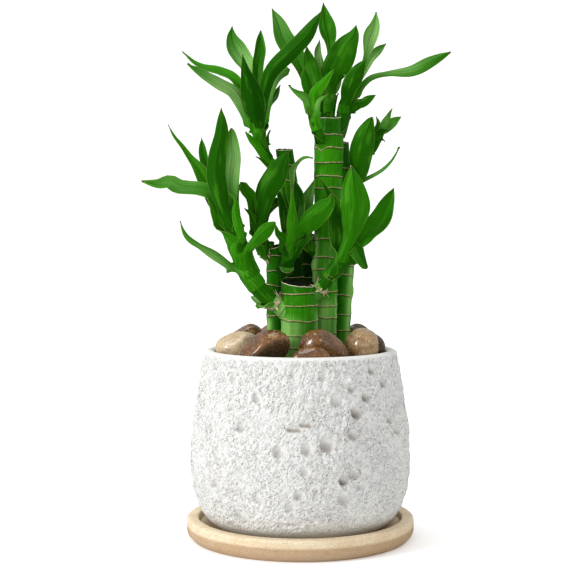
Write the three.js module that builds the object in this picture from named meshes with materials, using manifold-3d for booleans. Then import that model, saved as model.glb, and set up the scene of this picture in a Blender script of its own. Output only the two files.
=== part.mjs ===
// A lucky bamboo: cut canes with leafy shoots, in a pitted concrete pot on a round wooden saucer,
// with river pebbles over the soil.
// Millimetres, +Z up, the front towards -Y, the origin in the middle of the saucer's underside.
import * as THREE from "three";
import { mergeVertices } from "three/addons/utils/BufferGeometryUtils.js";
import Module from "manifold-3d";

const wasm = await Module();
wasm.setup();

// Driving dimensions
const GAP = 0.3; // left between two pieces that touch
const SAUCER = { radius: 56.5, foot: 54, height: 10.5, well: 50.5, floor: 5, round: 1.5 };
const POT = {
  bottom: SAUCER.floor + GAP,
  foot: 38,
  rim: 93.5,
  rimOuter: 48.2,
  rimInner: 42.6,
  floor: 9,
  innerFoot: 38,
  drain: 5,
};
const BELLY = [
  [43, 7.5],
  [47.8, 12],
  [52.5, 22.7],
  [54.6, 39.5],
  [52.9, 62],
  [50, 80],
  [POT.rimOuter, 91],
]; // radius and height up the outside of the pot
const HOLLOW = [
  [45.2, 24],
  [48.6, 40],
  [47.2, 62],
  [44.4, 80],
  [POT.rimInner, 91],
]; // radius and height up the inside of the pot
const SOIL_TOP = 86;
const CANE_FOOT = 34; // height at which the canes end in the soil
const CANE_RIDGE = 0.35; // how far a leaf scar stands out
const BLADE = 0.6; // thickness of a leaf
const TIP = 0.9; // width left at a leaf's tip
const SHEATH = 5; // length over which a leaf clasps its stem
const ROUND = 32; // sides of the pot and the saucer
const CANE_SIDES = 12;
const STEM_SIDES = 7;
const ROW = 9; // a leaf has a fold line about this often along its length

// Pits in the concrete: degrees round the pot from the front towards +X, height, radius
const PITS = [
  [-24, 75, 2.3],
  [-32, 61, 2.1],
  [-54, 58, 1.9],
  [-11, 51, 2.7],
  [3, 52, 2.5],
  [13, 54, 3.2],
  [30, 68, 2.8],
  [19, 74, 2.8],
  [21, 37, 2.3],
  [22, 29, 3],
  [-1, 31, 2.3],
  [-22, 29, 2.3],
  [2, 42, 2.3],
  [88, 70, 2.6],
  [121, 60, 3],
  [152, 76, 2.4],
  [173, 50, 2.9],
  [214, 38, 2.7],
  [268, 47, 2.8],
  [287, 72, 2.1],
];
const RIM_FLATNESS = 0.7; // height of the rim's round as a share of its half width
const PIT_DEPTH = 0.42; // depth as a share of the pit's radius

// Canes: points of the axis with the radius there, and the heights of the leaf scars
const CANES = {
  front: {
    axis: [[0, -8.5, CANE_FOOT, 9.2], [0, -8.5, 96, 9.2], [0, -8.5, 126.5, 9.4]],
    scars: [96, 102, 109, 116, 122],
  },
  tall: {
    axis: [
      [10, 5, CANE_FOOT, 6.6],
      [12, 5, 120, 6.6],
      [13, 5, 148, 6],
      [14, 5, 177, 7.1],
      [14.3, 5, 199, 7.3],
      [14.8, 5, 201, 5.6],
      [15, 5, 208.5, 5.5],
    ],
    scars: [101, 109, 115, 122, 133, 139, 148, 160, 173, 179, 186, 193],
  },
  left: {
    axis: [[-12, 1, CANE_FOOT, 4.9], [-12, 1, 110, 4.8], [-12, 1, 144.5, 4.7]],
    scars: [98, 110, 119, 125, 132, 140],
    slant: 0.25,
  },
  back_left: {
    axis: [[-1, 12, CANE_FOOT, 4.6], [-2, 12, 117, 4.6], [-4, 12, 142, 4.6], [-6, 12, 178, 4.5], [-8, 12, 193, 4.5]],
    scars: [98, 107, 117, 129, 141, 150, 163, 177, 185],
  },
  back_right: {
    axis: [[20, 13, CANE_FOOT, 4.5], [21, 13, 103, 4.5], [23, 14, 136, 4.5], [21.5, 16, 178, 4.3], [20.5, 17, 197, 4.3]],
    scars: [102, 110, 120, 130, 135, 150, 161, 171, 184],
  },
  back: {
    axis: [[4, 23, CANE_FOOT, 4.6], [4, 23, 150, 4.5]],
    scars: [106, 128, 135],
  },
};

// Shoots: the points of each stem with its radii from foot to top, and its leaves. A leaf leaves the
// stem at a share of its length, passes through its via points and ends at its tip.
const SHOOTS = {
  left: {
    cane: "front",
    stem: [
      [-6, -9, 115], [-10, -9, 116], [-16, -12, 119.5], [-21, -14, 125], [-25, -16, 132],
      [-29, -18, 142], [-33, -19, 152], [-35, -20, 163],
    ],
    thick: [3.4, 3.8, 4.4, 4.9, 4.7, 4.2, 3.4, 2.2],
    leaves: [
      { at: 0.5, via: [[-43, -24, 140]], tip: [-57, -30, 155], wide: 8, face: [0, -1, 0.8] },
      { at: 0.6, via: [[-18, -24, 151]], tip: [-11, -28, 157], wide: 6.4, taper: 0.6 },
      { at: 0.8, via: [[-40, -22, 166], [-53, -19, 172]], tip: [-77, -12, 176], wide: 10, wave: 1.2, face: [0, -1, 0.7] },
      { at: 0.85, via: [[-50, -11, 182]], tip: [-65, -2, 204], wide: 9.5, peak: 0.42, taper: 1.8 },
      { at: 0.9, via: [[-47, -5, 184]], tip: [-49, 4, 198], wide: 5 },
      { at: 0.92, via: [[-40, -34, 186]], tip: [-37, -40, 208], wide: 11.5 },
      { at: 0.95, via: [[-34, -12, 186]], tip: [-34, -8, 202], wide: 8, face: [0.5, -1, 0.2] },
      { at: 0.72, via: [[-31, -26, 163]], tip: [-34, -27, 171], wide: 5 },
      { at: 0.8, via: [[-31, -14, 169]], tip: [-29, -10, 176], wide: 3 },
      { at: 0.65, via: [[-38, 0, 168]], tip: [-44, 22, 182], wide: 8, face: [0.6, 1, 0.4] },
    ],
  },
  high_left: {
    cane: "back_left",
    stem: [[-7, 11, 176], [-9, 11, 179], [-14, 10, 185], [-18, 8, 191], [-20, 6, 198], [-21, 5, 205], [-21, 4, 211]],
    thick: [3, 3, 2.7, 2.5, 2.4, 2.5, 2.4],
    leaves: [
      { at: 0.35, via: [[-24, 2, 194]], tip: [-27, 0, 201], wide: 3 },
      { at: 0.75, via: [[-25, 2, 209]], tip: [-27, -1, 211], wide: 2.4 },
      { at: 0.85, via: [[-30, 9, 220], [-42, 16, 230]], tip: [-60, 26, 244], wide: 7.5, face: [0.2, -1, 0.6] },
      { at: 0.78, via: [[-29, 1, 215], [-40, -3, 223]], tip: [-55, -10, 233], wide: 10.5, face: [0.1, -1, 0.6] },
      { at: 0.9, via: [[-31, 21, 237]], tip: [-35, 34, 258], wide: 13 },
      { at: 0.95, via: [[-21, 12, 239]], tip: [-20, 16, 253], wide: 5.8 },
      { at: 0.85, via: [[-26, -8, 223]], tip: [-28, -14, 237], wide: 12 },
      { at: 0.92, via: [[-16, 0, 226], [-6, -5, 238]], tip: [10, -12, 258], wide: 11.5, face: [0.3, -1, 0.4] },
      { at: 0.8, via: [[-13, 2, 221]], tip: [-5, 8, 231], wide: 5 },
      { at: 0.75, via: [[-14, 10, 217]], tip: [-10, 18, 226], wide: 4.6 },
      { at: 0.7, via: [[-22, 22, 220]], tip: [-25, 38, 233], wide: 9, face: [0, 1, 0.6] },
    ],
  },
  inner_left: {
    cane: "left",
    stem: [[-13, 1, 136], [-15, 1, 139], [-19, -2, 143], [-20, -3, 149], [-20, -4, 154], [-19, -5, 160]],
    thick: [2.8, 2.8, 2.8, 2.6, 2.4, 1.9],
    leaves: [
      { at: 0.8, via: [[-16, -12, 175]], tip: [-6, -6, 191], wide: 14 },
      { at: 0.7, via: [[-14, 0, 163]], tip: [-8, 2, 168], wide: 5 },
      { at: 0.6, via: [[-25, -6, 170]], tip: [-29, -8, 175], wide: 4.6, taper: 0.7 },
      { at: 0.4, via: [[-24, -8, 157]], tip: [-27, -12, 163], wide: 3.6 },
      { at: 0.85, via: [[-19, 9, 168]], tip: [-17, 21, 177], wide: 7, face: [0, 1, 0.5] },
    ],
  },
  centre: {
    cane: "left",
    stem: [[-11, -1, 130], [-10, -2, 131], [-7, -5, 134], [-6, -6, 139], [-5, -7, 145], [-5, -7, 151]],
    thick: [2.6, 2.8, 3.4, 3.3, 3, 2.2],
    leaves: [
      { at: 0.8, via: [[5, -16, 156]], tip: [15, -22, 169], wide: 12.5, taper: 0.45, peak: 0.62 },
      { at: 0.9, via: [[-5, -13, 161]], tip: [-4, -16, 173], wide: 5.5 },
      { at: 0.95, via: [[-1, -2, 165]], tip: [-4, 1, 178], wide: 7 },
      { at: 0.55, via: [[-10, -10, 150]], tip: [-12, -12, 155], wide: 5 },
      { at: 0.97, via: [[-4, -1, 177], [1, -4, 187]], tip: [7, -7, 188], wide: 3.6, face: [0.2, -0.6, 1] },
      { at: 0.85, via: [[-9, -1, 165]], tip: [-12, 2, 175], wide: 4.5 },
      { at: 0.5, via: [[1, -10, 145]], tip: [6, -13, 148], wide: 4 },
    ],
  },
  right: {
    cane: "front",
    stem: [[3, -9, 118], [6, -10, 121], [11, -12, 125], [14, -14, 130], [18, -15, 135], [21, -16, 140], [23, -16, 146]],
    thick: [3, 3.4, 3.4, 3.3, 3.3, 3.2, 2.3],
    leaves: [
      { at: 0.88, via: [[26, -26, 164]], tip: [24, -24, 183], wide: 14 },
      { at: 0.85, via: [[38, -12, 154]], tip: [46, -4, 173], wide: 11.5, face: [-0.3, -1, 0.4] },
      { at: 0.65, via: [[27, -21, 140]], tip: [31, -27, 133], wide: 5.5, taper: 0.6 },
      { at: 0.8, via: [[18, -8, 160]], tip: [10, -7, 177], wide: 9 },
      { at: 0.75, via: [[27, -4, 155]], tip: [30, 3, 169], wide: 8, face: [0.3, 1, 0.4] },
    ],
  },
  back_right: {
    cane: "back_right",
    stem: [[20, 16, 168], [22, 15.5, 171], [26, 14.5, 178], [31, 13, 186], [34, 12, 193], [37, 12, 199], [40, 12, 204]],
    thick: [2.8, 2.8, 2.6, 2.4, 2.2, 1.9, 1.4],
    leaves: [
      { at: 0.35, via: [[29, 1, 192]], tip: [35, -4, 208], wide: 14 },
      { at: 0.9, via: [[44, 10, 209]], tip: [46, 10, 213], wide: 2.8 },
      { at: 0.93, via: [[46, 14, 207]], tip: [51, 18, 210], wide: 4.6 },
      { at: 0.75, via: [[41, 8, 201]], tip: [44, 5, 202], wide: 6 },
      { at: 0.65, via: [[39, 8, 197]], tip: [42, 6, 197], wide: 2.8 },
      { at: 0.25, via: [[40, 8, 182]], tip: [49, 2, 193], wide: 2, face: [-0.5, -0.5, 1] },
      { at: 0.45, via: [[32, 28, 190]], tip: [34, 42, 204], wide: 9, face: [0.1, 1, 0.6] },
    ],
  },
  top_right: {
    cane: "tall",
    stem: [[14, 6, 188], [16, 6, 193], [19, 8, 200], [21, 9, 207], [22, 9, 214], [24, 9, 221]],
    thick: [2.8, 2.9, 2.9, 2.8, 2.6, 2],
    leaves: [
      { at: 0.9, via: [[35, 5, 229], [50, 0, 231]], tip: [73, -8, 239], wide: 8, peak: 0.72, waist: 0.42, face: [0, -1, 1] },
      { at: 0.7, via: [[32, 4, 217]], tip: [37, 0, 218], wide: 4.8, face: [0, -0.7, 1] },
      { at: 0.8, via: [[28, 2, 225]], tip: [32, -4, 236], wide: 8 },
      { at: 0.95, via: [[33, 18, 243]], tip: [39, 26, 264], wide: 8, face: [0.4, -1, 0.4] },
      { at: 0.9, via: [[37, 22, 237]], tip: [44, 28, 248], wide: 5.4 },
      { at: 0.93, via: [[24, 4, 226]], tip: [21, 2, 231], wide: 4 },
      { at: 0.6, via: [[27, 28, 224]], tip: [30, 44, 237], wide: 8, face: [0, 1, 0.6] },
    ],
  },
  top_left: {
    cane: "tall",
    stem: [[12, 2, 193], [11, 0, 196], [9, -5, 200], [7, -6, 205], [7, -6, 210], [6, -5, 216]],
    thick: [2.8, 2.8, 2.6, 2.4, 2.3, 1.8],
    leaves: [
      { at: 0.95, via: [[-2, 6, 236]], tip: [-14, 16, 264], wide: 12.5 },
      { at: 0.92, via: [[5, -4, 230]], tip: [3, -4, 242], wide: 8 },
      { at: 0.85, via: [[3, -10, 223]], tip: [2, -12, 231], wide: 5 },
      { at: 0.8, via: [[10, -16, 220]], tip: [16, -22, 229], wide: 6 },
      { at: 0.7, via: [[-1, -12, 216]], tip: [-6, -16, 222], wide: 5 },
      { at: 0.4, via: [[4, -9, 209]], tip: [3, -10, 212], wide: 2.4 },
    ],
  },
  top_back: {
    cane: "tall",
    stem: [[14, 7, 196], [14, 8.5, 202], [14, 12, 209], [14, 13, 215], [15, 13, 220], [15, 12, 226]],
    thick: [2.3, 2.3, 2.3, 2.3, 2.2, 1.7],
    leaves: [
      { at: 0.85, via: [[19, 1, 234]], tip: [27, -8, 252], wide: 15 },
      { at: 0.95, via: [[16, 20, 247]], tip: [12, 28, 269], wide: 10.5 },
      { at: 0.8, via: [[10, 17, 234]], tip: [11, 22, 249], wide: 4 },
      { at: 0.3, via: [[18, 11, 215]], tip: [20, 9, 221], wide: 2.6 },
      { at: 0.75, via: [[17, 28, 228]], tip: [19, 42, 243], wide: 9, face: [0.1, 1, 0.6] },
    ],
  },
  middle: {
    cane: "tall",
    stem: [[9, 4, 138], [7, 4, 141], [4, 2, 144], [3, 1, 149], [2, 0, 153], [2, 0, 158]],
    thick: [2.2, 2.4, 2.4, 2.2, 2, 1.6],
    leaves: [
      { at: 0.85, via: [[3, 1, 165]], tip: [7, -4, 177], wide: 6 },
      { at: 0.6, via: [[4, 8, 153]], tip: [5, 14, 162], wide: 4.6, face: [0, 1, 0.4] },
    ],
  },
};

// Pebbles: middle, half sizes, turn about Z and lean about Y in degrees, colour. They are set down in
// this order, each onto what lies under it.
const PEBBLES = [
  { at: [-29.5, -6], half: [11.8, 9.4, 9.2], turn: 8, lean: 6, tone: "cream", sides: 2 },
  { at: [5, -36.8], half: [9.4, 5.2, 5.6], turn: 3, lean: 4, tone: "brown", sides: 2 },
  { at: [-17.5, -26.5], half: [12.6, 8, 8.2], turn: -12, lean: -8, tone: "brown", sides: 2 },
  { at: [11.5, -24.8], half: [12, 7, 8.8], turn: -6, lean: 12, tone: "brown", sides: 2 },
  { at: [30.5, -15], half: [9.2, 9, 9.2], turn: 35, lean: 0, tone: "tan", sides: 2 },
  { at: [34.5, 2], half: [7.6, 7.8, 7.4], turn: 0, lean: 0, tone: "dark", sides: 2 },
  { at: [-28, 18], half: [8.6, 8.2, 8.8], turn: -30, lean: 5, tone: "brown" },
  { at: [-19.5, 8], half: [4.4, 4.4, 5.6], turn: 0, lean: 0, tone: "tan" },
  { at: [31.5, 18], half: [5.6, 5.8, 8.2], turn: 20, lean: 0, tone: "grey" },
  { at: [-13, 30.5], half: [8.4, 7.4, 8], turn: -20, lean: 8, tone: "cream" },
  { at: [4, 35.5], half: [7.2, 5.6, 7], turn: 0, lean: 0, tone: "brown" },
  { at: [18.5, 30.5], half: [7.4, 6.6, 7.6], turn: -28, lean: -8, tone: "brown" },
  { at: [-12, 17.5], half: [5.2, 4.8, 5.6], turn: 40, lean: 0, tone: "grey" },
  { at: [-37.3, 7.5], half: [3.9, 4.4, 4.8], turn: 10, lean: 0, tone: "dark" },
  { at: [21.5, -2], half: [4.2, 4.2, 4.8], turn: 0, lean: 0, tone: "grey" },
  { at: [13.2, 19.5], half: [4, 4, 4.6], turn: 0, lean: 0, tone: "tan" },
];

// Materials
const finish = (color, roughness) => new THREE.MeshStandardMaterial({ color, roughness, metalness: 0 });
const CONCRETE = finish("#efefec", 0.9);
const WOOD = finish("#d6bd93", 0.6);
const EARTH = finish("#3a2c20", 1);
const CANE_GREEN = finish("#3f8f1e", 0.45);
const LEAF_GREEN = finish("#2f8a12", 0.4);
const STONE = {
  cream: finish("#d9c9a8", 0.3),
  tan: finish("#cdb089", 0.3),
  brown: finish("#7d532f", 0.25),
  dark: finish("#4a3a2a", 0.25),
  grey: finish("#6d6459", 0.3),
};

// Small helpers
const vec = (p) => new THREE.Vector3(p[0], p[1], p[2]);
const radians = THREE.MathUtils.degToRad;
const { clamp, lerp, smoothstep } = THREE.MathUtils;

// The value at a share of the way along a list of evenly spaced values.
function along(values, share) {
  const place = clamp(share, 0, 1) * (values.length - 1);
  const i = Math.min(Math.floor(place), values.length - 2);
  return lerp(values[i], values[i + 1], place - i);
}

// The x, y and radius of a cane's axis at a height.
function axisAt(axis, z) {
  let i = 0;
  while (i < axis.length - 2 && z > axis[i + 1][2]) i++;
  const [a, b] = [axis[i], axis[i + 1]];
  const share = (z - a[2]) / (b[2] - a[2]);
  return [0, 1, 3].map((k) => lerp(a[k], b[k], share));
}

// A geometry with shared corners merged and nothing but positions left.
function bare(geometry) {
  geometry.deleteAttribute("normal");
  geometry.deleteAttribute("uv");
  return mergeVertices(geometry, 1e-3);
}

// A closed geometry as a solid that can be joined and cut.
function solidOf(geometry) {
  const merged = bare(geometry);
  return new wasm.Manifold(
    new wasm.Mesh({
      numProp: 3,
      vertProperties: merged.attributes.position.array,
      triVerts: new Uint32Array(merged.index.array),
    }),
  );
}

// A solid's largest body, so that no loose scrap is left by a cut.
function largestBody(solid) {
  return solid.decompose().reduce((a, b) => (b.volume() > a.volume() ? b : a));
}

// A solid as a geometry.
function geometryOf(solid) {
  const mesh = solid.getMesh();
  return new THREE.BufferGeometry()
    .setAttribute("position", new THREE.BufferAttribute(mesh.vertProperties, 3))
    .setIndex(new THREE.BufferAttribute(mesh.triVerts, 1));
}

const plant = new THREE.Group();

// Adds one named piece, given as a geometry or as a solid.
function add(name, shape, material) {
  const geometry = shape.isBufferGeometry ? bare(shape) : geometryOf(shape);
  geometry.computeVertexNormals();
  const mesh = new THREE.Mesh(geometry, material);
  mesh.name = name;
  plant.add(mesh);
  return shape;
}

// A ring turned from a closed outline of radius and height.
function turned(outline) {
  const points = outline.map(([r, z]) => new THREE.Vector2(r, z));
  if (!points[0].equals(points.at(-1))) points.push(points[0].clone());
  return new THREE.LatheGeometry(points, ROUND).rotateX(Math.PI / 2);
}

// Points along a smooth line through the given radius and height pairs.
function eased(pairs, steps) {
  const curve = new THREE.SplineCurve(pairs.map(([r, z]) => new THREE.Vector2(r, z)));
  return curve.getPoints(steps).map((p) => [p.x, p.y]);
}

// A quarter round from one angle to another, as radius and height pairs.
function corner(r, z, size, from, to, steps) {
  return Array.from({ length: steps + 1 }, (_, i) => {
    const angle = radians(lerp(from, to, i / steps));
    return [r + size * Math.cos(angle), z + size * Math.sin(angle)];
  });
}

function saucerShape() {
  const { radius, foot, height, well, floor, round } = SAUCER;
  return turned([
    [0, 0],
    [foot, 0],
    [radius - 0.6, 2.5],
    ...corner(radius - round, height - round, round, 0, 90, 2),
    [well + 0.8, height],
    [well, height - 0.8],
    [well, floor],
    [0, floor],
  ]);
}

const outside = eased([[POT.foot, POT.bottom], ...BELLY], 9);
const hollow = eased(HOLLOW, 4);
const hollowFloor = POT.bottom + POT.floor;

// The radius of an outline at a height.
function radiusAt(outline, z) {
  const i = clamp(outline.findIndex((p) => p[1] >= z), 1, outline.length - 1);
  const [a, b] = [outline[i - 1], outline[i]];
  return lerp(a[0], b[0], (z - a[1]) / (b[1] - a[1]));
}

// A ball that bites one pit out of the pot's wall.
function pitBall([turn, height, radius]) {
  const depth = radius * PIT_DEPTH;
  const ball = (radius * radius + depth * depth) / (2 * depth);
  const reach = radiusAt(outside, height) + ball - depth;
  const way = radians(turn);
  return new THREE.SphereGeometry(ball, 7, 7)
    .rotateZ(Math.PI / 2)
    .rotateZ(way - Math.PI / 2)
    .translate(reach * Math.sin(way), -reach * Math.cos(way), height);
}

function potShape() {
  const lip = (POT.rimOuter - POT.rimInner) / 2;
  const spring = POT.rim - lip * RIM_FLATNESS;
  const rim = corner(0, 0, lip, 0, 180, 5).map(([r, z]) => [POT.rimInner + lip + r, spring + z * RIM_FLATNESS]);
  const outline = [
    [POT.drain, POT.bottom],
    ...outside,
    ...rim.slice(1, -1),
    ...hollow.slice().reverse(),
    [POT.innerFoot, hollowFloor],
    [POT.drain, hollowFloor],
  ];
  return PITS.reduce((pot, pit) => pot.subtract(solidOf(pitBall(pit))), solidOf(turned(outline)));
}

// The soil fills the pot's hollow, with a plain hole for each cane.
function soilShape() {
  const edge = [[POT.innerFoot, hollowFloor + GAP], ...hollow.filter((p) => p[1] < SOIL_TOP)];
  edge.push([radiusAt(hollow, SOIL_TOP), SOIL_TOP]);
  const room = 2 * GAP; // the gap to the wall, with some to spare for its flat sides
  const body = solidOf(turned([[0, hollowFloor + GAP], ...edge.map(([r, z]) => [r - room, z]), [0, SOIL_TOP]]));
  return Object.values(CANES).reduce((earth, cane) => earth.subtract(caneShape(cane, GAP)), body);
}

// One cane: a round bar with a ridge at each leaf scar. A grown cane cuts the room that it stands in.
function caneShape({ axis, scars, slant = 0 }, grow = 0) {
  const foot = axis[0][2] - grow;
  const top = axis.at(-1)[2] + grow;
  const rings = [[foot, -grow], [foot, 0]];
  for (const z of scars) rings.push([z, CANE_RIDGE], [z + 0.8, -CANE_RIDGE / 3]);
  rings.push([top - 0.5, 0], [top, -0.5]);
  const steps = rings.slice(1);
  const geometry = new THREE.CylinderGeometry(1, 1, 1, CANE_SIDES, steps.length - 1).rotateX(Math.PI / 2);
  const place = geometry.getAttribute("position");
  for (let i = 0; i < place.count; i++) {
    const ring = Math.round((place.getZ(i) + 0.5) * (steps.length - 1));
    const [z, proud] = steps[ring];
    const [x, y, radius] = axisAt(axis, z);
    const r = radius + proud + grow;
    const lift = ring > steps.length - 3 ? place.getX(i) * r * slant : 0;
    place.setXYZ(i, x + place.getX(i) * r, y + place.getY(i) * r, z + lift);
  }
  return solidOf(geometry);
}

// A shoot's stem: a round bar along a path, with its radius at each share of the length.
function stemShape(path, thick) {
  const geometry = new THREE.CylinderGeometry(1, 1, 1, STEM_SIDES, thick.length);
  const place = geometry.getAttribute("position");
  const depth = new THREE.Vector3(0, 1, 0);
  for (let i = 0; i < place.count; i++) {
    const share = place.getY(i) + 0.5;
    const tangent = path.getTangentAt(share);
    const across = new THREE.Vector3().crossVectors(depth, tangent).normalize();
    const near = new THREE.Vector3().crossVectors(across, tangent);
    const radius = along(thick, share);
    const p = path
      .getPointAt(share)
      .addScaledVector(across, place.getX(i) * radius)
      .addScaledVector(near, place.getZ(i) * radius);
    place.setXYZ(i, p.x, p.y, p.z);
  }
  return solidOf(geometry);
}

// A thin closed sheet. surface(u, v) gives a point of its middle and the normal there, with u from
// 0 to 1 along it and v from -1 to 1 across it. Both faces are split into triangles alike.
function sheetShape(rows, columns, surface) {
  const points = [];
  for (const side of [1, -1])
    for (let i = 0; i <= rows; i++)
      for (let j = 0; j <= columns; j++) {
        const { point, normal } = surface(i / rows, (2 * j) / columns - 1);
        points.push(...point.addScaledVector(normal, (side * BLADE) / 2).toArray());
      }
  const upper = (i, j) => i * (columns + 1) + j;
  const below = (rows + 1) * (columns + 1);
  const faces = [];
  for (let i = 0; i < rows; i++)
    for (let j = 0; j < columns; j++) {
      const [a, b, c, d] = [upper(i, j), upper(i, j + 1), upper(i + 1, j + 1), upper(i + 1, j)];
      faces.push(a, b, c, a, c, d);
      faces.push(below + a, below + c, below + b, below + a, below + d, below + c);
    }
  const edge = [];
  for (let j = 0; j < columns; j++) edge.push(upper(0, j));
  for (let i = 0; i < rows; i++) edge.push(upper(i, columns));
  for (let j = columns; j > 0; j--) edge.push(upper(rows, j));
  for (let i = rows; i > 0; i--) edge.push(upper(i, 0));
  edge.forEach((p, k) => {
    const q = edge[(k + 1) % edge.length];
    faces.push(q, p, below + p, q, below + p, below + q);
  });
  const geometry = new THREE.BufferGeometry()
    .setAttribute("position", new THREE.BufferAttribute(new Float32Array(points), 3))
    .setIndex(faces);
  return solidOf(geometry);
}

// Half a leaf's width at a share of its length: it clasps the stem, narrows, swells and ends in a tip.
function halfWidth({ wide, peak = 0.55, waist = 0.35, taper = 1.2 }, girth, u) {
  const clasp = Math.min(girth, 0.75 * wide) * (1 - smoothstep(u, 0.05, 0.32));
  const rise = lerp(waist, 1, 0.5 - 0.5 * Math.cos((Math.PI * u) / peak));
  const fall = Math.cos(((Math.PI / 2) * (u - peak)) / (1 - peak)) ** taper;
  return Math.max(clasp, (wide / 2) * (u < peak ? rise : fall), TIP / 2);
}

// One leaf: a sheath against the stem, then a blade, hollow along its middle, that turns its face
// from the stem to the way it looks.
function leafShape(stem, thick, leaf) {
  const { at, via, tip, wave = 0, twist = 0, fold = 20, face = [0, -1, 0.3] } = leaf;
  const shoulder = stem.getPointAt(at);
  const upward = stem.getTangentAt(at);
  const out = vec(via[0]).sub(shoulder);
  out.addScaledVector(upward, -out.dot(upward)).normalize();
  const girth = along(thick, at);
  const foot = stem.getPointAt(Math.max(0, at - SHEATH / stem.getLength()));
  const path = new THREE.CatmullRomCurve3(
    [foot, shoulder.addScaledVector(out, girth * 0.6), ...via.map(vec), vec(tip)],
    false,
    "centripetal",
  );
  const look = vec(face).normalize();
  if (look.dot(out) > 0) look.negate();
  const surface = (u, v) => {
    const tangent = path.getTangentAt(u);
    const turn = smoothstep(u, 0.08, 0.5);
    const normal = out.clone().negate().lerp(look, turn);
    normal.addScaledVector(tangent, -normal.dot(tangent)).normalize();
    normal.applyAxisAngle(tangent, radians(twist) * u);
    const side = new THREE.Vector3().crossVectors(tangent, normal);
    const half = halfWidth(leaf, girth, u);
    const curl = lerp(clamp(half / (1.1 * girth), 0.5, 1.4), radians(fold), turn);
    const angle = v * curl;
    const bend = half / curl;
    const ripple = wave * v * v * Math.sin(u * 14 + v) * smoothstep(u, 0.2, 0.5);
    const point = path
      .getPointAt(u)
      .addScaledVector(side, bend * Math.sin(angle))
      .addScaledVector(normal, bend * (1 - Math.cos(angle)) + ripple);
    const facing = normal.clone().multiplyScalar(Math.cos(angle)).addScaledVector(side, -Math.sin(angle));
    return { point, normal: facing };
  };
  return sheetShape(clamp(Math.round(path.getLength() / ROW), 4, 7), 2, surface);
}

// One shoot: its stem with every leaf joined on, cut clear of the cane that it grows from.
function shootShape({ cane, stem, thick, leaves }) {
  const path = new THREE.CatmullRomCurve3(stem.map(vec), false, "centripetal");
  const body = leaves.reduce(
    (shoot, leaf) => shoot.add(leafShape(path, thick, leaf)),
    stemShape(path, thick),
  );
  return largestBody(body.subtract(caneShape(CANES[cane], GAP)));
}

// One pebble at a height: a ball drawn out to its half sizes, with low bumps.
function pebbleShape({ at, half, turn, lean, sides = 1 }, index, z, grow = 0) {
  const geometry = bare(new THREE.IcosahedronGeometry(1, sides));
  const place = geometry.getAttribute("position");
  for (let i = 0; i < place.count; i++) {
    const [x, y, up] = [place.getX(i), place.getY(i), place.getZ(i)];
    const lump = 1 + 0.05 * Math.sin(3 * x + index) * Math.cos(2.5 * y - index) + 0.04 * x * up;
    place.setXYZ(i, x * lump * (half[0] + grow), y * lump * (half[1] + grow), up * lump * (half[2] + grow));
  }
  geometry.rotateY(radians(lean)).rotateZ(radians(turn)).translate(at[0], at[1], z);
  return solidOf(geometry);
}

// Lowers a pebble until it would touch what lies there.
function settle(pebble, index, heap) {
  const touches = (z) => {
    const grown = pebbleShape(pebble, index, z, GAP);
    return heap.some((solid) => grown.intersect(solid).volume() > 0);
  };
  let z = SOIL_TOP + 3 * pebble.half[2];
  for (const step of [1, 0.1]) {
    while (!touches(z - step) && z > SOIL_TOP) z -= step;
  }
  return pebbleShape(pebble, index, z);
}

add("saucer", saucerShape(), WOOD);
const pot = add("pot", potShape(), CONCRETE);

const soil = add("soil", soilShape(), EARTH);

const canes = Object.entries(CANES).map(([name, cane]) => add("cane_" + name, caneShape(cane), CANE_GREEN));
for (const [name, shoot] of Object.entries(SHOOTS)) add("shoot_" + name, shootShape(shoot), LEAF_GREEN);

const heap = [pot, soil, ...canes];
PEBBLES.forEach((pebble, index) => {
  const stone = settle(pebble, index, heap);
  heap.push(stone);
  add("pebble_" + String(index + 1).padStart(2, "0"), stone, STONE[pebble.tone]);
});

export default plant;
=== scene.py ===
import math
import random

import bmesh
import bpy
import numpy as np
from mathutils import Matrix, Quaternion, Vector, noise


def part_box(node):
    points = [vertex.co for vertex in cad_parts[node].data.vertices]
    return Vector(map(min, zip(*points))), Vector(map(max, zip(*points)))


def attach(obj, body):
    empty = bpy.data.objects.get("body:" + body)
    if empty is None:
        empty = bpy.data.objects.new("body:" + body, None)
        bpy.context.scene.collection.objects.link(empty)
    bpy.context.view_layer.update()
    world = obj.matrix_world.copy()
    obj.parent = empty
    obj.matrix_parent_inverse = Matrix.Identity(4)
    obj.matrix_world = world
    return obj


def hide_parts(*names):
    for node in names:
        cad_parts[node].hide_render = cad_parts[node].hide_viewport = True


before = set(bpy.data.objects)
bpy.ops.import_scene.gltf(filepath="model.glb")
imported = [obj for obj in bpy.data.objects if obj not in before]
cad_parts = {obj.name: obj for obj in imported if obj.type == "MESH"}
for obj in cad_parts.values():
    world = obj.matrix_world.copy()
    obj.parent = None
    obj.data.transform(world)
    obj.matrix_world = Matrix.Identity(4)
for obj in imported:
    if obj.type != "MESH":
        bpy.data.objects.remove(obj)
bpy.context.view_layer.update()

# Sizes shared with the solids
MM = 0.001
GAP = 0.3
SAUCER = {"radius": 56.5, "foot": 54, "height": 10.5, "well": 50.5, "floor": 5, "round": 1.5}
POT_BOTTOM = SAUCER["floor"] + GAP
POT_BASE = 9
POT_FLOOR = POT_BOTTOM + POT_BASE
RIM_TOP = 93.5
DRAIN = 5
OUTSIDE = [(38, 5.3), (43, 7.5), (47.8, 12), (52.5, 22.7), (54.6, 39.5), (52.9, 62), (50, 80), (48.2, 91)]
HOLLOW = [(45.2, 24), (48.6, 40), (47.2, 62), (44.4, 80), (42.6, 91)]
HOLLOW_FOOT = 38
RIM_FLATNESS = 0.7
SOIL_TOP = 86

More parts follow.
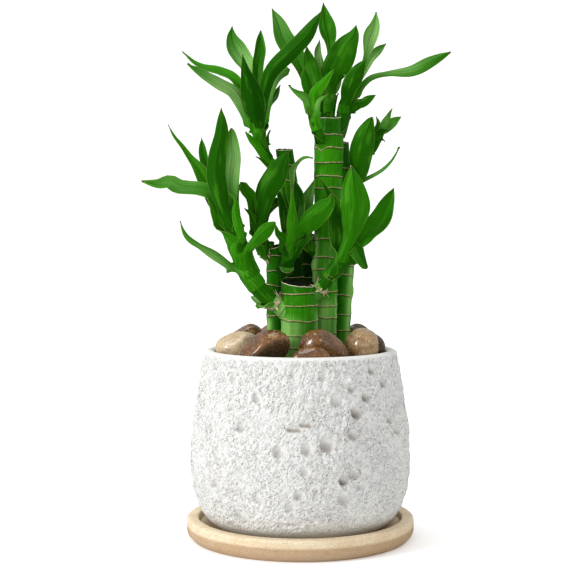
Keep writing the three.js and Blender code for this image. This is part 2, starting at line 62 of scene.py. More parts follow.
# How finely the meshes are cut, with row gaps in millimetres, and how far the pot's columns crowd towards
# its front
PATH_STEPS = 24
SAUCER_SIDES = 128
POT_SIDES = 480
POT_ROWS = 165
RIM_ROWS = 14
HOLLOW_ROWS = 10
POT_CROWDING = 0.3
PEBBLE_CUTS = 5
GRAVEL_CUTS = 2
CANE_SIDES = 72
CANE_ROW_GAP = 2.2
STEM_SIDES = 24
STEM_ROW_GAP = 0.8
SHEATH_ROWS = 8
BLADE_ROWS = 30
BLADE_COLUMNS = 10
FLARE_SIDES = 36
FLARE_ROWS = 24
COLLAR_SIDES = 72
COLLAR_ROWS = 4
STRIP_ROWS = 6

# Relief of the concrete: its soft lumps as pairs of height and closeness, the slant of the finest lumps in
# degrees, the heights where the skin turns rough and smooth again, the radius from which the lip belongs to
# the skin, and the pits
POT_LUMPS = [(0.6, 0.16), (0.6, 0.42), (0.35, 1.1)]
LUMP_SLANT = 42
ROUGH_FROM = (9, 17)
ROUGH_TO = (91.2, 92.9)
SKIN_EDGE = 45.6
PIT_WIDTH = 1.14
PIT_DEPTH = 0.68
SMALL_PITS = 330
BACK_PITS = 24
SLOT_RADIUS = 1.15
SLOT_DEPTH = 1.4

# Relief of the plant: the scars and buds of the canes, how far a leaf's foot wraps round its stem in
# radians, the fold, crease and thickness of its blade, and the strips and thickness of a dry collar
SCAR_RIDGE = 0.13
SCAR_GROOVE = 0.14
SCAR_SWELL = 0.25
BUD_SIZE = 1.1
SHEATH_CURL = 2.7
OPEN_CURL = 1.5
BLADE_FOLD = math.radians(20)
BLADE_CREASE = 0.3
BLADE_THICKNESS = 0.35
COLLAR_STRIPS = 14
COLLAR_THICKNESS = 0.2

# Gravel between the pebbles: how many grains are tried, how far out they are tried and may reach, their
# radii, how near two of them lie as a share of both radii, and how far a grain's middle stands above the
# soil as a share of its half height
GRAVEL_TRIES = 2600
GRAVEL_REACH = 43.5
GRAVEL_EDGE = 43.2
GRAVEL_SIZES = (1.3, 3.2)
GRAVEL_NEARNESS = 0.85
GRAVEL_STAND = 0.35

# Seeds of the random draws, with the step from one shoot's leaves to the next one's
PIT_SEED = 11
GRAVEL_SEED = 5
CANE_SEED = 40
STEM_SEED = 300
LEAF_SEED_STEP = 100

# Camera in metres, degrees and millimetres of lens
CAMERA_PLACE = (-0.0061, -0.641, 0.1525)
CAMERA_TILT = 87.43
CAMERA_LENS = 80.8
CAMERA_SENSOR = 36

# Lamps: place, the point it aims at, width and watts. Then the strength of the light from all round, what
# the camera sees more of it, and what mirrored rays see less
LAMPS = {
    "key": ((-1.05, -0.55, 0.6), (0, 0, 0.12), 0.3, 7.7),
    "top": ((-0.2, 0.1, 1.1), (0, 0, 0.1), 0.5, 2.5),
}
FILL = 0.82
CAMERA_FILL = 0.37
MIRRORED_FILL = -0.34

# Pits seen in the concrete: degrees round the pot from the front towards +X, height, radius, depth share
PITS = [
    (-24, 75, 2.3, 1), (-32, 61, 2.1, 1), (-54, 58, 1.9, 1), (-11, 51, 2.7, 1), (3, 52, 2.5, 1),
    (13, 54, 3.2, 1.2), (28, 79, 1.7, 1.3), (43, 87, 2, 1.4), (51, 80, 1.9, 1.6), (37, 75, 2.4, 1.4),
    (30, 68, 2.8, 1.5), (19, 74, 2.8, 0.9), (53, 63, 2, 1.4), (59, 57, 2, 1.4), (27, 58, 2.4, 1.2),
    (12, 85, 2.3, 0.8), (21, 37, 2.1, 1.7), (27, 40, 2.5, 1), (22, 29, 3, 1), (-1, 31, 2.3, 1),
    (-22, 29, 2.3, 0.8), (2, 42, 2.3, 0.8), (-35, 20, 1.9, 1), (-49, 33, 1.9, 1), (-5, 25, 2.7, 0.6),
    (31, 34, 1.8, 1), (-57, 87, 1.4, 1), (-41, 84, 1.4, 1), (88, 70, 2.6, 1), (121, 60, 3, 1.2),
    (152, 76, 2.4, 1), (173, 50, 2.9, 1.2), (214, 38, 2.7, 1), (268, 47, 2.8, 1.1), (287, 72, 2.1, 1),
]

# Short level slots: the degrees where each starts and ends, and its height
SLOTS = [(-5.6, -1, 61), (0.2, 4.2, 63.2)]

# Canes that follow the solids: points of the axis with the radius there, heights of the leaf scars, buds as
# a height and degrees from the front towards +X, the slope of the cut top, how far the scars sag at the
# front, the range of greens, pale streaks of painted highlight as two heights, degrees, half width and
# share, and painted deep shade as a share and the height where it ends
CANES = {
    "front": {
        "axis": [(-0.5, -8.5, 34, 9), (-0.5, -8.5, 96, 9), (-0.5, -8.5, 126.5, 9.1)],
        "scars": [89, 96, 102, 109, 116, 122],
        "slant": (-0.1, 0.14),
        "sag": 0.7,
        "green": (0.3, 0.6),
        "pale_streaks": [(84, 109, -48, 50, 1.1), (84, 112, 72, 14, 0.8), (84, 100, 0, 80, 0.8)],
    },
    "tall": {
        "axis": [
            (10, 5, 34, 6.6), (12, 5, 120, 6.6), (13, 5, 148, 6), (14, 5, 177, 7.1), (14.3, 5, 199, 7.3),
            (14.8, 5, 201, 5.6), (15, 5, 208.5, 5.5),
        ],
        "scars": [90, 101, 109, 115, 122, 133, 139, 148, 160, 173, 179, 186, 193, 200],
        "buds": [(133, -75), (160, -70), (193, -30)],
        "pale_streaks": [
            (121, 150, -60, 18, 1.4), (84, 120, 66, 16, 0.8), (84, 118, -10, 46, 0.8),
            (125, 146, 20, 40, 0.2),
        ],
    },
    "left": {
        "axis": [(-12, 1, 34, 4.9), (-12, 1, 110, 4.8), (-12, 1, 144.5, 4.7)],
        "scars": [90, 98, 110, 119, 125, 132, 140],
        "slant": (0.28, 0.16),
        "green": (0, 0.25),
        "pale_streaks": [(84, 109, -54, 26, 1.1)],
    },
    "back_left": {
        "axis": [
            (-1, 12, 34, 4.6), (-2, 12, 117, 4.6), (-4, 12, 142, 4.6), (-6, 12, 178, 4.5),
            (-8, 12, 193, 4.5),
        ],
        "scars": [98, 107, 117, 129, 141, 150, 163, 177, 185],
        "buds": [(163, 40)],
        "shade": (1.1, 150),
    },
    "back_right": {
        "axis": [
            (20, 13, 34, 4.5), (21, 13, 103, 4.5), (23, 14, 136, 4.5), (21.5, 16, 178, 4.3),
            (20.5, 17, 197, 4.3),
        ],
        "scars": [93, 102, 110, 120, 130, 135, 150, 161, 171, 184],
        "buds": [(120, 60)],
        "green": (0.1, 0.5),
        "pale_streaks": [(84, 135, 44, 24, 0.85)],
    },
    "back": {
        "axis": [(4, 23, 34, 4.6), (4, 23, 150, 4.5)],
        "scars": [94, 106, 117, 128, 135, 143],
        "buds": [(128, 160)],
        "shade": (1.1, 400),
    },
}

# The mouth of a cut cane, from its rim inwards: the share of the radius, the height above the cut, and how
# much the rim's colour shows, the rest being painted shade in the hollow
CANE_MOUTH = [
    (0.99, 0.1, 1), (0.965, 0, 1), (0.92, -0.8, 0.1), (0.6, -1.6, 0.1), (0.3, -1.9, 0.1), (0.02, -2, 0.1),
]


def blade(at, wide, *points, face=(0, -1, 0.3), tone=0.5, sheen=(0.5, 0), wave=0):
    """One leaf: its share of the way up the stem, its widths from foot to tip, the points it passes with
    its tip last, the way its upper side looks, how bright a green it is, set darker as painted shade on
    leaves that lie in shade, where and how much pale sheen it shows, which is painted sheen except on the
    torn flap, where it is the flap's own pale green, and its ripples."""
    return {
        "at": at, "wide": wide, "via": points[:-1], "tip": points[-1],
        "face": face, "tone": tone, "sheen": sheen, "wave": wave,
    }


# Shoots that follow the solids: points of the stem, its radii from foot to top, and then the leaves
SHOOTS = {
    "left": (
        [
            (-6, -9, 115), (-10, -9, 116), (-16, -12, 119.5), (-21, -14, 125), (-25, -16, 132),
            (-29, -18, 142), (-33, -19, 152), (-35, -20, 163),
        ],
        [3.4, 3.8, 4.4, 4.9, 4.7, 4.2, 3.4, 2.2],
        blade(0.2, [3, 3.6, 2.8, 1.2], (-20, -12, 117.5), (-24, -12, 120), tone=0.9, sheen=(0.5, 1.4)),
        blade(0.5, [4.6, 4.2, 4.2, 4.4, 4.4, 3.8, 2.8, 3.2, 2.4, 1.2, 0.3], (-41, -24, 140.4),
              (-48, -27, 144.8), (-52.5, -28.5, 147.8), (-54.8, -29, 150.5), (-56.2, -29.6, 153.8),
              (-57, -30, 156.8), sheen=(0.4, 0.5), wave=0.4),
        blade(0.6, [5, 4.4, 4.6, 5.8, 7.2, 7.6, 5.6, 1.6], (-25, -24, 143), (-21, -25, 148),
              (-16, -27, 153), (-12, -28, 156), tone=0.4),
        blade(0.8, [6, 8, 8.6, 7.4, 7, 8, 9.4, 9, 6, 2.6, 0.3], (-42, -21, 169), (-48, -20, 171.5),
              (-54, -18, 172), (-59, -17, 173), (-63, -16, 175.5), (-69, -14, 174.5), (-77, -12, 176),
              face=(0, -1, 0.5), wave=1, sheen=(0.7, 0.25)),
        blade(0.85, [5, 6.4, 7.6, 7.8, 6.6, 3.6, 2.3, 1.8, 0.3], (-49, -12, 181.5), (-54, -9, 188),
              (-58, -7, 193.5), (-62, -4, 198.5), (-65, -2, 204), tone=0.4),
        blade(0.9, [3, 3, 3, 3.4, 4, 4.6, 4.6, 3.6, 0.3], (-47, -5, 186), (-49, 4, 198), tone=0.3),
        blade(0.92, [5, 7, 9, 9.4, 9.2, 8.4, 7.2, 5.4, 0.4], (-39, -28, 172), (-40, -32, 180),
              (-39, -35, 188), (-37, -38, 197), (-37, -40, 209), tone=0.15),
        blade(0.95, [4, 6, 8.2, 9.2, 8.4, 5.8, 2.2], (-34, -14, 180), (-33, -12, 188), (-33.5, -9, 196),
              (-34, -8, 202), face=(0.3, -1, 0.2), sheen=(0.6, 0.9), wave=0.5),
        blade(0.72, [4, 4.6, 4.6, 3.4, 1.4, 0.3], (-31, -26, 161), (-31, -27, 167), (-35, -27, 171),
              tone=0.6),
        blade(0.8, [2.4, 2.8, 2, 0.3], (-31, -14, 169), (-29, -10, 176), tone=0.1),
        blade(0.65, [4, 6, 8, 7, 4, 0.4], (-38, 0, 168), (-44, 22, 182), face=(0.6, 1, 0.4)),
    ),
    "high_left": (
        [
            (-7, 11, 176), (-9, 11, 179), (-14, 10, 185), (-18, 8, 191), (-20, 6, 198), (-21, 5, 205),
            (-21, 4, 211),
        ],
        [3, 2.6, 2.1, 2.1, 2.3, 2.5, 2.4],
        blade(0.22, [1.6, 2, 1.6, 0.4], (-20, 5, 188), (-22, 4, 189)),
        blade(0.35, [4, 4.8, 4.4, 2.8, 0.4], (-21, 3, 194), (-24, 2, 197), (-27, 0, 201), tone=0.8),
        blade(0.55, [1.4, 1.6, 1, 0.3], (-16, 6, 200), (-15, 6, 202), tone=0.2),
        blade(0.75, [2, 2.4, 1.6, 0.4], (-26, 2, 210), (-27, -1, 211)),
        blade(0.85, [4, 4.4, 4.8, 5.2, 5.4, 4.8, 3.6, 2.2, 0.3], (-32, 9, 227), (-40, 14, 232),
              (-49, 19, 235), (-54, 22, 238), (-60, 26, 244), face=(0.2, -1, 0.6), tone=0.6),
        blade(0.78, [5, 5, 6, 7.4, 8, 7.6, 5.6, 3.2, 0.4], (-32, 1, 220), (-40, -3, 225), (-48, -7, 229),
              (-55, -10, 233), face=(0.1, -1, 0.6), tone=0.6, sheen=(0.5, 1)),
        blade(0.9, [4, 5, 6, 7, 8.4, 9.6, 10, 6, 0.4], (-25, 12, 232), (-29, 20, 239), (-33, 27, 246),
              (-35, 31, 252), (-35, 34, 258), sheen=(0.5, 0.8)),
        blade(0.95, [3, 3.5, 4, 4.6, 5.4, 5.8, 5.6, 3.8, 0.3], (-21, 9, 235), (-20, 12, 242),
              (-20, 14, 248), (-20, 16, 253), tone=0.3),
        blade(0.85, [7, 11, 12, 11.5, 9.3, 6, 3, 0.4], (-23, -5, 216), (-25, -9, 223), (-27, -12, 231),
              (-28, -14, 237), tone=0.1),
        blade(0.92, [5, 5, 5.5, 6.4, 7.4, 7.8, 8.1, 7.7, 7.2, 4.2, 0.4], (-17, -2, 222), (-14, -4, 230),
              (-5, -7, 239), (3, -9, 247), (10, -12, 258), face=(0.3, -1, 0.1), tone=0.1),
        blade(0.8, [3, 4, 5, 6, 6.6, 6.4, 6, 5], (-16, 3, 221), (-13, 5, 228), (-9, 7, 231.5),
              (-5, 8, 232.5), tone=0.9, sheen=(0.6, 1.4)),
        blade(0.75, [3, 4.4, 5.6, 5.8, 4.8, 2.6, 0.3], (-17, 8, 215), (-13, 13, 220), (-10, 18, 226),
              tone=0.15),
        blade(0.7, [4, 6, 9, 8, 5, 0.4], (-22, 22, 220), (-25, 38, 233), face=(0, 1, 0.6)),
    ),
    "inner_left": (
        [(-13, 1, 136), (-15, 1, 139), (-19, -2, 143), (-20, -3, 149), (-20, -4, 154), (-19, -5, 160)],
        [2.8, 2.8, 2.8, 2.6, 2.4, 1.9],
        blade(0.8, [4.5, 6, 8.4, 10.4, 11.8, 11.8, 10.4, 6.5, 0.4], (-18, -9, 167), (-16, -11, 173),
              (-13, -12, 178), (-10, -9, 184), (-6, -6, 191), tone=0.12),
        blade(0.7, [4.5, 6, 7, 6.6, 5.4, 3.6], (-18, 0, 161), (-14, 1, 165), (-9, 2, 167), tone=0),
        blade(0.6, [2.4, 3, 3.6, 4.6, 5.4, 6, 5.6, 4], (-24, -6, 168), (-27, -7, 172), (-29, -8, 176),
              tone=0.4),
        blade(0.4, [4, 5, 5, 4, 2.4, 0.4], (-22, -6, 156), (-24, -9, 160), (-27, -12, 163), tone=0.2),
        blade(0.3, [3, 4, 3.4, 2], (-16, -3, 145), (-13, -4, 146), tone=0),
        blade(0.85, [3, 5, 7, 6, 3, 0.4], (-19, 9, 168), (-17, 21, 177), face=(0, 1, 0.5)),
    ),
    "centre": (
        [(-11, -1, 130), (-10, -2, 131), (-7, -5, 134), (-6, -6, 139), (-5, -7, 145), (-5, -7, 151)],
        [2.6, 2.8, 2.9, 2.7, 2.5, 2],
        blade(0.8, [6, 7.5, 9, 10.4, 11, 11, 9.5, 5, 0.4], (-1, -10, 152), (4, -14, 157), (10, -18, 162),
              (14, -21, 166), (15, -22, 170), tone=0.45),
        blade(0.9, [4.5, 5.7, 5.4, 4.2, 2.6, 1.4, 0.3], (-4, -12, 159), (-4, -14, 163), (-4, -15, 168),
              (-4, -16, 173), tone=0.75),
        blade(0.95, [4, 6, 7, 7, 5.6, 3, 0.3], (-1, -4, 163), (-1, -2, 170), (-4, 1, 179), tone=0.05),
        blade(0.55, [4, 5.5, 5.4, 4.6, 2.6, 0.4], (-8, -9, 148), (-11, -11, 151), (-12, -12, 155),
              tone=0.3),
        blade(0.97, [1.2, 1.2, 1.2, 1.2, 1.3, 1.6, 2.2, 3.4, 1, 2.2, 0.3], (-4, -1, 177), (-4, -1, 181),
              (-1, -3, 186), (2, -5, 188), (6, -6, 188), face=(0.2, -1, 0.5), sheen=(0.7, 0.6)),
        blade(0.85, [3, 4.5, 4.5, 3, 0.3], (-9, -1, 165), (-12, 2, 175), tone=0.15),
        blade(0.8, [2.5, 3.6, 3.6, 2.4, 0.3], (-7, 0, 165), (-9, 2, 177), tone=0.3),
        blade(0.5, [3, 4, 4.4, 3.6, 2, 0.5], (0, -11, 145.5), (6, -13, 149), tone=0),
    ),
    "right": (
        [
            (3, -9, 118), (6, -10, 121), (11, -12, 125), (14, -14, 130), (18, -15, 135), (21, -16, 140),
            (23, -16, 146),
        ],
        [3, 3.4, 3.4, 3.3, 3.3, 3.2, 2.3],
        blade(0.92, [4.5, 6.5, 9.4, 12, 14.4, 14, 11.5, 7, 0.4], (24, -19, 150), (25, -23, 156),
              (26, -26, 164), (25, -25, 173), (24, -24, 183), tone=0.45),
        blade(0.88, [5, 8.4, 11, 12.2, 12, 10.6, 8.2, 4.8, 0.4], (32, -15, 151), (38, -13, 156),
              (42, -8, 164), (46, -4, 173), face=(-0.3, -1, 0.4), tone=0.4),
        blade(0.75, [9, 9.4, 8, 6, 4.4, 2.8], (26, -19, 143.5), (28, -22, 140), (31, -27, 134), tone=0.2),
        blade(0.8, [6, 9, 10, 9.6, 7.5, 4.5, 2, 0.4], (18, -8, 160), (15, -7, 168), (10, -7, 177),
              tone=0.05),
        blade(0.7, [4, 6, 8, 7, 4, 0.4], (27, -4, 155), (30, 3, 169), face=(0.3, 1, 0.4)),
    ),
    "back_right": (
        [
            (20, 16, 168), (22, 15.5, 171), (26, 14.5, 178), (31, 13, 186), (34, 12, 193), (37, 12, 199),
            (40, 12, 204),
        ],
        [2.8, 2.8, 2.6, 2.4, 2.2, 1.9, 1.4],
        blade(0.35, [7, 9.5, 10.8, 11.6, 12.4, 10.6, 7, 2], (29, 5, 182), (30, 1, 190), (31, -1, 196),
              (33, -3, 203), (35, -4, 208), tone=0.3),
        blade(0.9, [2, 2.6, 2, 0.3], (39, 8, 206), (38, 7, 209), tone=0.3),
        blade(0.92, [3, 3.8, 3.4, 2, 0.3], (44, 10, 209), (46, 10, 213), tone=0.7, sheen=(0.5, 0.4)),
        blade(0.93, [3, 4.6, 5.2, 4.6, 2.6, 0.3], (46, 14, 206), (51, 18, 210), tone=0.9, sheen=(0.6, 0.2)),
        blade(0.75, [4, 5.5, 5.5, 4, 2, 0.5], (41, 8, 202), (44, 5, 202), tone=0.2),
        blade(0.65, [2.4, 3.4, 3.4, 1.8, 0.3], (40, 9, 198), (42, 6, 197), tone=0.2),
        blade(0.25, [2.4, 2.4, 2, 1.6, 1.4, 1.1, 0.8, 0.2], (36, 8, 179.5), (41, 7, 182.5), (45.6, 5, 187),
              (49.4, 2, 193.6), face=(-0.2, -1, 0.4), tone=0.8, sheen=(0.4, 0.5)),
        blade(0.45, [4, 6, 9, 8, 5, 0.4], (32, 28, 190), (34, 42, 204), face=(0.1, 1, 0.6)),
    ),
    "top_right": (
        [(14, 6, 188), (16, 6, 193), (19, 8, 200), (21, 9, 207), (22, 9, 214), (24, 9, 221)],
        [2.8, 2.9, 2.9, 2.8, 2.6, 2],
        blade(0.9, [4, 3.4, 3, 3.1, 2.7, 2.4, 4.4, 6.1, 6.6, 6.8, 5.6, 3.4, 0.3], (29, 8, 222),
              (35, 6, 228), (44, 3, 230), (55, -1, 231), (64, -5, 235), (73, -8, 239), face=(0, -1, 0.4),
              tone=0.45, sheen=(0.5, 0.4)),
        blade(0.7, [3, 4.6, 5.8, 6, 5.2, 3.2, 0.5], (28, 6, 215), (31, 4, 216), (34, 2, 217.5),
              (37, 0, 219), face=(0, -1, 0.4), tone=0.25),
        blade(0.8, [5, 7, 8.4, 9.1, 7.6, 5, 0.4], (24, 3, 222), (26, 1, 227), (29, -2, 232), (32, -4, 236),
              tone=0.2),
        blade(0.95, [3, 3, 3, 3, 4, 6.4, 7.7, 4.5, 0.3], (33, 14, 238), (34, 18, 243), (35, 21, 249),
              (38, 24, 257), (39, 26, 264), face=(0.4, -1, 0.4), tone=0.6, sheen=(0.75, 1)),
        blade(0.9, [2, 2, 2.2, 2.6, 3, 4, 5.2, 4.2, 0.3], (34, 18, 235), (36, 20, 239), (39, 24, 243),
              (44, 28, 248), sheen=(0.6, 0.8)),
        blade(0.93, [2, 3, 3, 2, 0.4], (24, 4, 226), (21, 2, 231), tone=0.7, sheen=(0.7, 0.4)),
        blade(0.6, [4, 6, 8, 7, 4, 0.4], (27, 28, 224), (30, 44, 237), face=(0, 1, 0.6)),
    ),
    "top_left": (
        [(12, 2, 193), (11, 0, 196), (9, -5, 200), (7, -6, 205), (7, -6, 210), (6, -5, 216)],
        [2.4, 2.2, 2, 1.9, 1.8, 1.6],
        blade(0.95, [3.5, 4, 4.5, 7, 9.8, 9.8, 8.9, 5.6, 0.4], (1, 2, 232), (-3, 6, 240), (-8, 11, 248),
              (-11, 14, 257), (-14, 16, 264), tone=0.5, sheen=(0.95, 0.3)),
        blade(0.92, [3, 4, 5, 6.4, 7.6, 7.4, 4.8, 0.4], (8, -5, 224), (6, -3, 231), (4, -2, 237),
              (3, -3, 242), tone=0.35),
        blade(0.85, [3.5, 3.8, 4.2, 5, 5.6, 5, 3, 0.3], (4, -9, 220), (3, -10, 224), (2, -11, 228),
              (2, -12, 231), tone=0.2),
        blade(0.8, [4.6, 5.9, 5.8, 5.2, 4.2, 2.4, 0.4], (7, -12, 218), (9, -16, 221), (12, -19, 224),
              (16, -22, 229), tone=0.85),
        blade(0.7, [4, 5.2, 5.2, 4.6, 2.6, 1.2, 0.3], (3, -10, 216), (-2, -13, 219), (-6, -16, 222),
              tone=0.75, sheen=(0.5, 0.3)),
        blade(0.72, [2, 2.2, 2.2, 1.6, 0.5], (9, -11, 215), (13, -14, 218), tone=0.8, sheen=(0.5, 0.7)),
        blade(0.4, [2, 2.4, 1.8, 0.3], (4, -9, 209), (3, -10, 212), tone=0.2),
        blade(0.15, [1.6, 1.8, 1.2, 0.3], (6, -8, 203), (5, -9, 205), tone=0.1),
    ),
    "top_back": (
        [(14, 7, 196), (14, 8.5, 202), (14, 12, 209), (14, 13, 215), (15, 13, 220), (15, 12, 226)],
        [3, 3.2, 3.2, 3, 2.6, 1.9],
        blade(0.85, [6, 10, 13.4, 14.6, 13.8, 11.2, 6.6, 0.5], (16, 3, 230), (19, 0, 236), (22, -4, 242),
              (26, -7, 248), (27, -8, 252), tone=0.3),
        blade(0.95, [2.5, 2.5, 2.5, 2, 5.4, 8.6, 8, 4.6, 0.4], (15, 16, 243), (15, 20, 249), (14, 22, 254),
              (13, 25, 260), (12, 28, 269), tone=0.3),
        blade(0.8, [2, 2.2, 2.6, 4.6, 3.4, 0.4], (10, 16, 236), (9, 19, 242), (10, 22, 249), tone=0.4,
              sheen=(0.7, 0.9)),
        blade(0.3, [2, 2.3, 2.3, 1.6, 0.3], (17, 10, 215), (19, 9, 221), tone=0.1),
        blade(0.4, [4, 5, 5, 4.4, 3, 0.5], (10, 10, 213), (9.5, 11, 220), (9, 12, 227), tone=0.1),
        blade(0.75, [2, 2.2, 2, 1], (17, 11, 224), (19, 9, 224), sheen=(0.6, 0.7)),
        blade(0.75, [4, 6, 9, 8, 5, 0.4], (17, 28, 228), (19, 42, 243), face=(0.1, 1, 0.6)),
    ),
    "middle": (
        [(9, 4, 138), (7, 4, 141), (4, 2, 144), (3, 1, 149), (2, 0, 153), (2, 0, 158)],
        [2.2, 2.4, 2.4, 2.2, 2, 1.6],
        blade(0.85, [3, 6, 7, 6, 3, 0.4], (3, 1, 165), (7, -4, 177), tone=0.6, sheen=(0.6, 0.5)),
        blade(0.6, [3, 4.6, 4, 0.4], (4, 8, 153), (5, 14, 162), face=(0, 1, 0.4)),
    ),
}

# Pebbles in the order of the solids: stone, half sizes, turn, lean, how far the top leans to +X, how far it
# stands off its solid along X and Z, and flat faces as a direction, the share of the radius where it cuts,
# and how much painted shade it takes
PEBBLES = [
    ("cream", (11.8, 9.4, 8.6), 8, 6, -0.15, (-0.6, -1.4),
     [(-0.45, -0.5, 0.75, 0.76, 0), (0.5, -0.8, 0.3, 0.78, 0)]),
    ("brown", (9.4, 5.2, 5.6), 3, 4, -0.1, (0, 0), [(-0.3, -0.6, 0.75, 0.85, 0)]),
    ("brown", (12.8, 8, 8.8), -12, -8, 0.4, (0, 1.2),
     [(-0.67, -0.49, 0.56, 0.6, 0), (0.62, -0.6, -0.42, 0.66, 1)]),
    ("brown", (12, 7, 9.2), -6, 8, -0.3, (-0.8, 1),
     [(0.62, -0.3, 0.72, 0.56, 0), (0.2, -0.9, -0.2, 0.8, 0.4)]),
    ("tan", (8.7, 9, 9.2), 35, 0, 0, (-0.8, 0),
     [(0.1, -0.2, 1, 0.9, 0), (0.8, -0.5, 0.1, 0.88, 0)]),
    ("dark", (7.6, 7.8, 7.4), 0, 0, 0, (0, 0), [(0.2, -0.6, 0.75, 0.85, 0)]),
    ("brown", (9.4, 7.6, 9.2), -10, 5, 0.2, (0, 0.8), [(-0.6, -0.2, 0.8, 0.74, 0)]),
    ("tan", (4.4, 4.4, 5.6), 0, 0, 0, (0, 0), []),
    ("grey", (6.6, 5.8, 8.6), 10, 0, 0, (-2.2, 1.6), [(0, -0.5, 0.8, 0.85, 0)]),
    ("brown", (8.8, 7.4, 8), -20, 8, -0.2, (-0.8, 2), [(-0.5, -0.4, 0.7, 0.8, 0)]),
    ("brown", (7.2, 5.6, 7), 0, 0, 0.1, (0, 0), [(0, 0.7, 0.7, 0.82, 0)]),
    ("brown", (7.4, 6.6, 7.6), -28, -8, 0, (0, 0), [(0.5, 0.6, 0.6, 0.8, 0)]),
    ("grey", (5.2, 4.8, 5.6), 40, 0, 0, (0, 0), []),
    ("dark", (3.9, 4.4, 4.8), 10, 0, 0, (0, 0), [(-0.6, 0, 0.8, 0.8, 0)]),
    ("grey", (4.2, 4.2, 4.8), 0, 0, 0, (0, 0), []),
    ("tan", (4, 4, 4.6), 0, 0, 0, (0, 0), []),
]

# Swollen feet where shoots leave their canes: points of the line, radii from foot to top, shares of the
# length where a scar lies, how bright a green it is, and how pale its streaks are
FLARES = {
    "left_flare": (
        [(-2, -9, 111.5), (-7, -9.3, 113.6), (-11, -10, 116), (-14.2, -11.2, 118.4)], [7, 5.6, 4.4, 3.9],
        [0.55, 0.8], 0.7, 0.75,
    ),
    "right_flare": (
        [(4, -9, 119), (7, -10.2, 121.5), (9.5, -11.4, 124), (11, -12, 125.2)], [4.6, 4, 3.6, 3.5],
        [0.8], 0.3, 0.2,
    ),
    "centre_foot": (
        [(-7.6, -0.5, 132.4), (-7, -3.5, 133.6), (-6.7, -6.5, 134.8), (-6.6, -8.4, 136)],
        [3, 3.4, 3.7, 3.6, 2.9, 0.6], [0.7], 0.5, 0.1,
    ),
}

# Dry collars round the feet of shoots: points of the line, radius and seed
COLLARS = {
    "left_collar": ([(-12.4, -10.5, 117.1), (-15.6, -11.8, 119.3)], 4.2, 3),
    "right_collar": ([(9.8, -11.5, 124), (12.6, -12.9, 127.4)], 3.5, 8),
    "inner_collar": ([(-16, 0.2, 139.8), (-18.4, -1.2, 142)], 2.8, 5),
}

# Values that the meshes carry for the materials of canes and of leaves
CANE_VALUES = ["ring", "under", "cut", "tone", "pale_streaks"]
LEAF_VALUES = ["rim", "tone", "blade", "ring", "sheen"]


# Arithmetic
def clamp(x, low=0.0, high=1.0):
    return min(max(x, low), high)


def lerp(a, b, share):
    return a + (b - a) * share


def smooth(x, low, high):
    share = clamp((x - low) / (high - low))
    return share * share * (3 - 2 * share)


def along(values, share):
    """The value at a share of the way along a list of evenly spaced values."""
    place = clamp(share) * (len(values) - 1)
    i = min(int(place), len(values) - 2)
    return lerp(values[i], values[i + 1], place - i)


def bell(x, width):
    """A soft bump of height 1 at x = 0."""
    return math.exp(-((x / width) ** 2))


def short_way(turn, whole=2 * math.pi):
    """A turn brought to within half a turn either way."""
    return (turn + whole / 2) % whole - whole / 2


class Path:
    """A smooth line through points, read by share of its length."""

    def __init__(self, points):
        pts = [Vector(p) for p in points]
        ends = [pts[0] * 2 - pts[1], *pts, pts[-1] * 2 - pts[-2]]
        line = []
        for k in range(1, len(ends) - 2):
            line += [self.between(ends[k - 1 : k + 3], i / PATH_STEPS) for i in range(PATH_STEPS)]
        line.append(pts[-1])
        self.points = line
        self.marks = [0.0]
        for a, b in zip(line, line[1:]):
            self.marks.append(self.marks[-1] + (b - a).length)
        self.length = self.marks[-1]

    @staticmethod
    def between(four, share):
        a, b, c, d = four
        gaps = [max(math.sqrt((q - p).length), 1e-4) for p, q in zip(four, four[1:])]
        start = (b - a) / gaps[0] - (c - a) / (gaps[0] + gaps[1]) + (c - b) / gaps[1]
        end = (c - b) / gaps[1] - (d - b) / (gaps[1] + gaps[2]) + (d - c) / gaps[2]
        start *= gaps[1]
        end *= gaps[1]
        t, t2, t3 = share, share**2, share**3
        first = b * (2 * t3 - 3 * t2 + 1) + start * (t3 - 2 * t2 + t)
        return first + c * (3 * t2 - 2 * t3) + end * (t3 - t2)

    def at(self, share):
        goal = clamp(share) * self.length
        i = int(np.searchsorted(self.marks, goal, side="right")) - 1
        i = min(max(i, 0), len(self.points) - 2)
        step = self.marks[i + 1] - self.marks[i]
        return self.points[i].lerp(self.points[i + 1], clamp((goal - self.marks[i]) / max(step, 1e-9)))

    def tangent(self, share):
        near = 0.004
        low, high = max(0, share - near), min(1, share + near)
        return (self.at(high) - self.at(low)).normalized()


def square_to(tangent):
    """Two directions square to a line and to each other."""
    across = Vector((0, 1, 0)).cross(tangent).normalized()
    return across, across.cross(tangent)


def beside(path, share, turn, r):
    """A point at a radius round a line."""
    across, near = square_to(path.tangent(share))
    return path.at(share) + across * (math.sin(turn) * r) + near * (math.cos(turn) * r)


# Meshes
def sheet(bm, columns, rows, surface, closed=False):
    """A grid laid on surface(u, v), which gives a point in millimetres and its values. u runs from 0 to 1
    along it and v from 0 to 1 across it. A closed one is a tube whose last column meets its first."""
    made = bmesh.ops.create_grid(bm, x_segments=columns, y_segments=rows, size=0.5)["verts"]
    shares = {}
    for vert in made:
        u, v = vert.co.y + 0.5, vert.co.x + 0.5
        shares[vert] = (u, v)
        point, values = surface(u, v)
        vert.co = Vector(point) * MM
        for name, value in values.items():
            vert[bm.verts.layers.float[name]] = value
    layer = bm.loops.layers.uv.active
    for face in {face for vert in made for face in vert.link_faces}:
        for loop in face.loops:
            u, v = shares[loop.vert]
            loop[layer].uv = (v, u)
    if closed:
        bmesh.ops.remove_doubles(bm, verts=made, dist=1e-6)
    return [vert for vert in made if vert.is_valid]


def new_mesh(values=()):
    """An empty mesh with a surface map, and with room for named values at its points."""
    bm = bmesh.new()
    bm.loops.layers.uv.new("surface")
    for name in values:
        bm.verts.layers.float.new(name)
    return bm


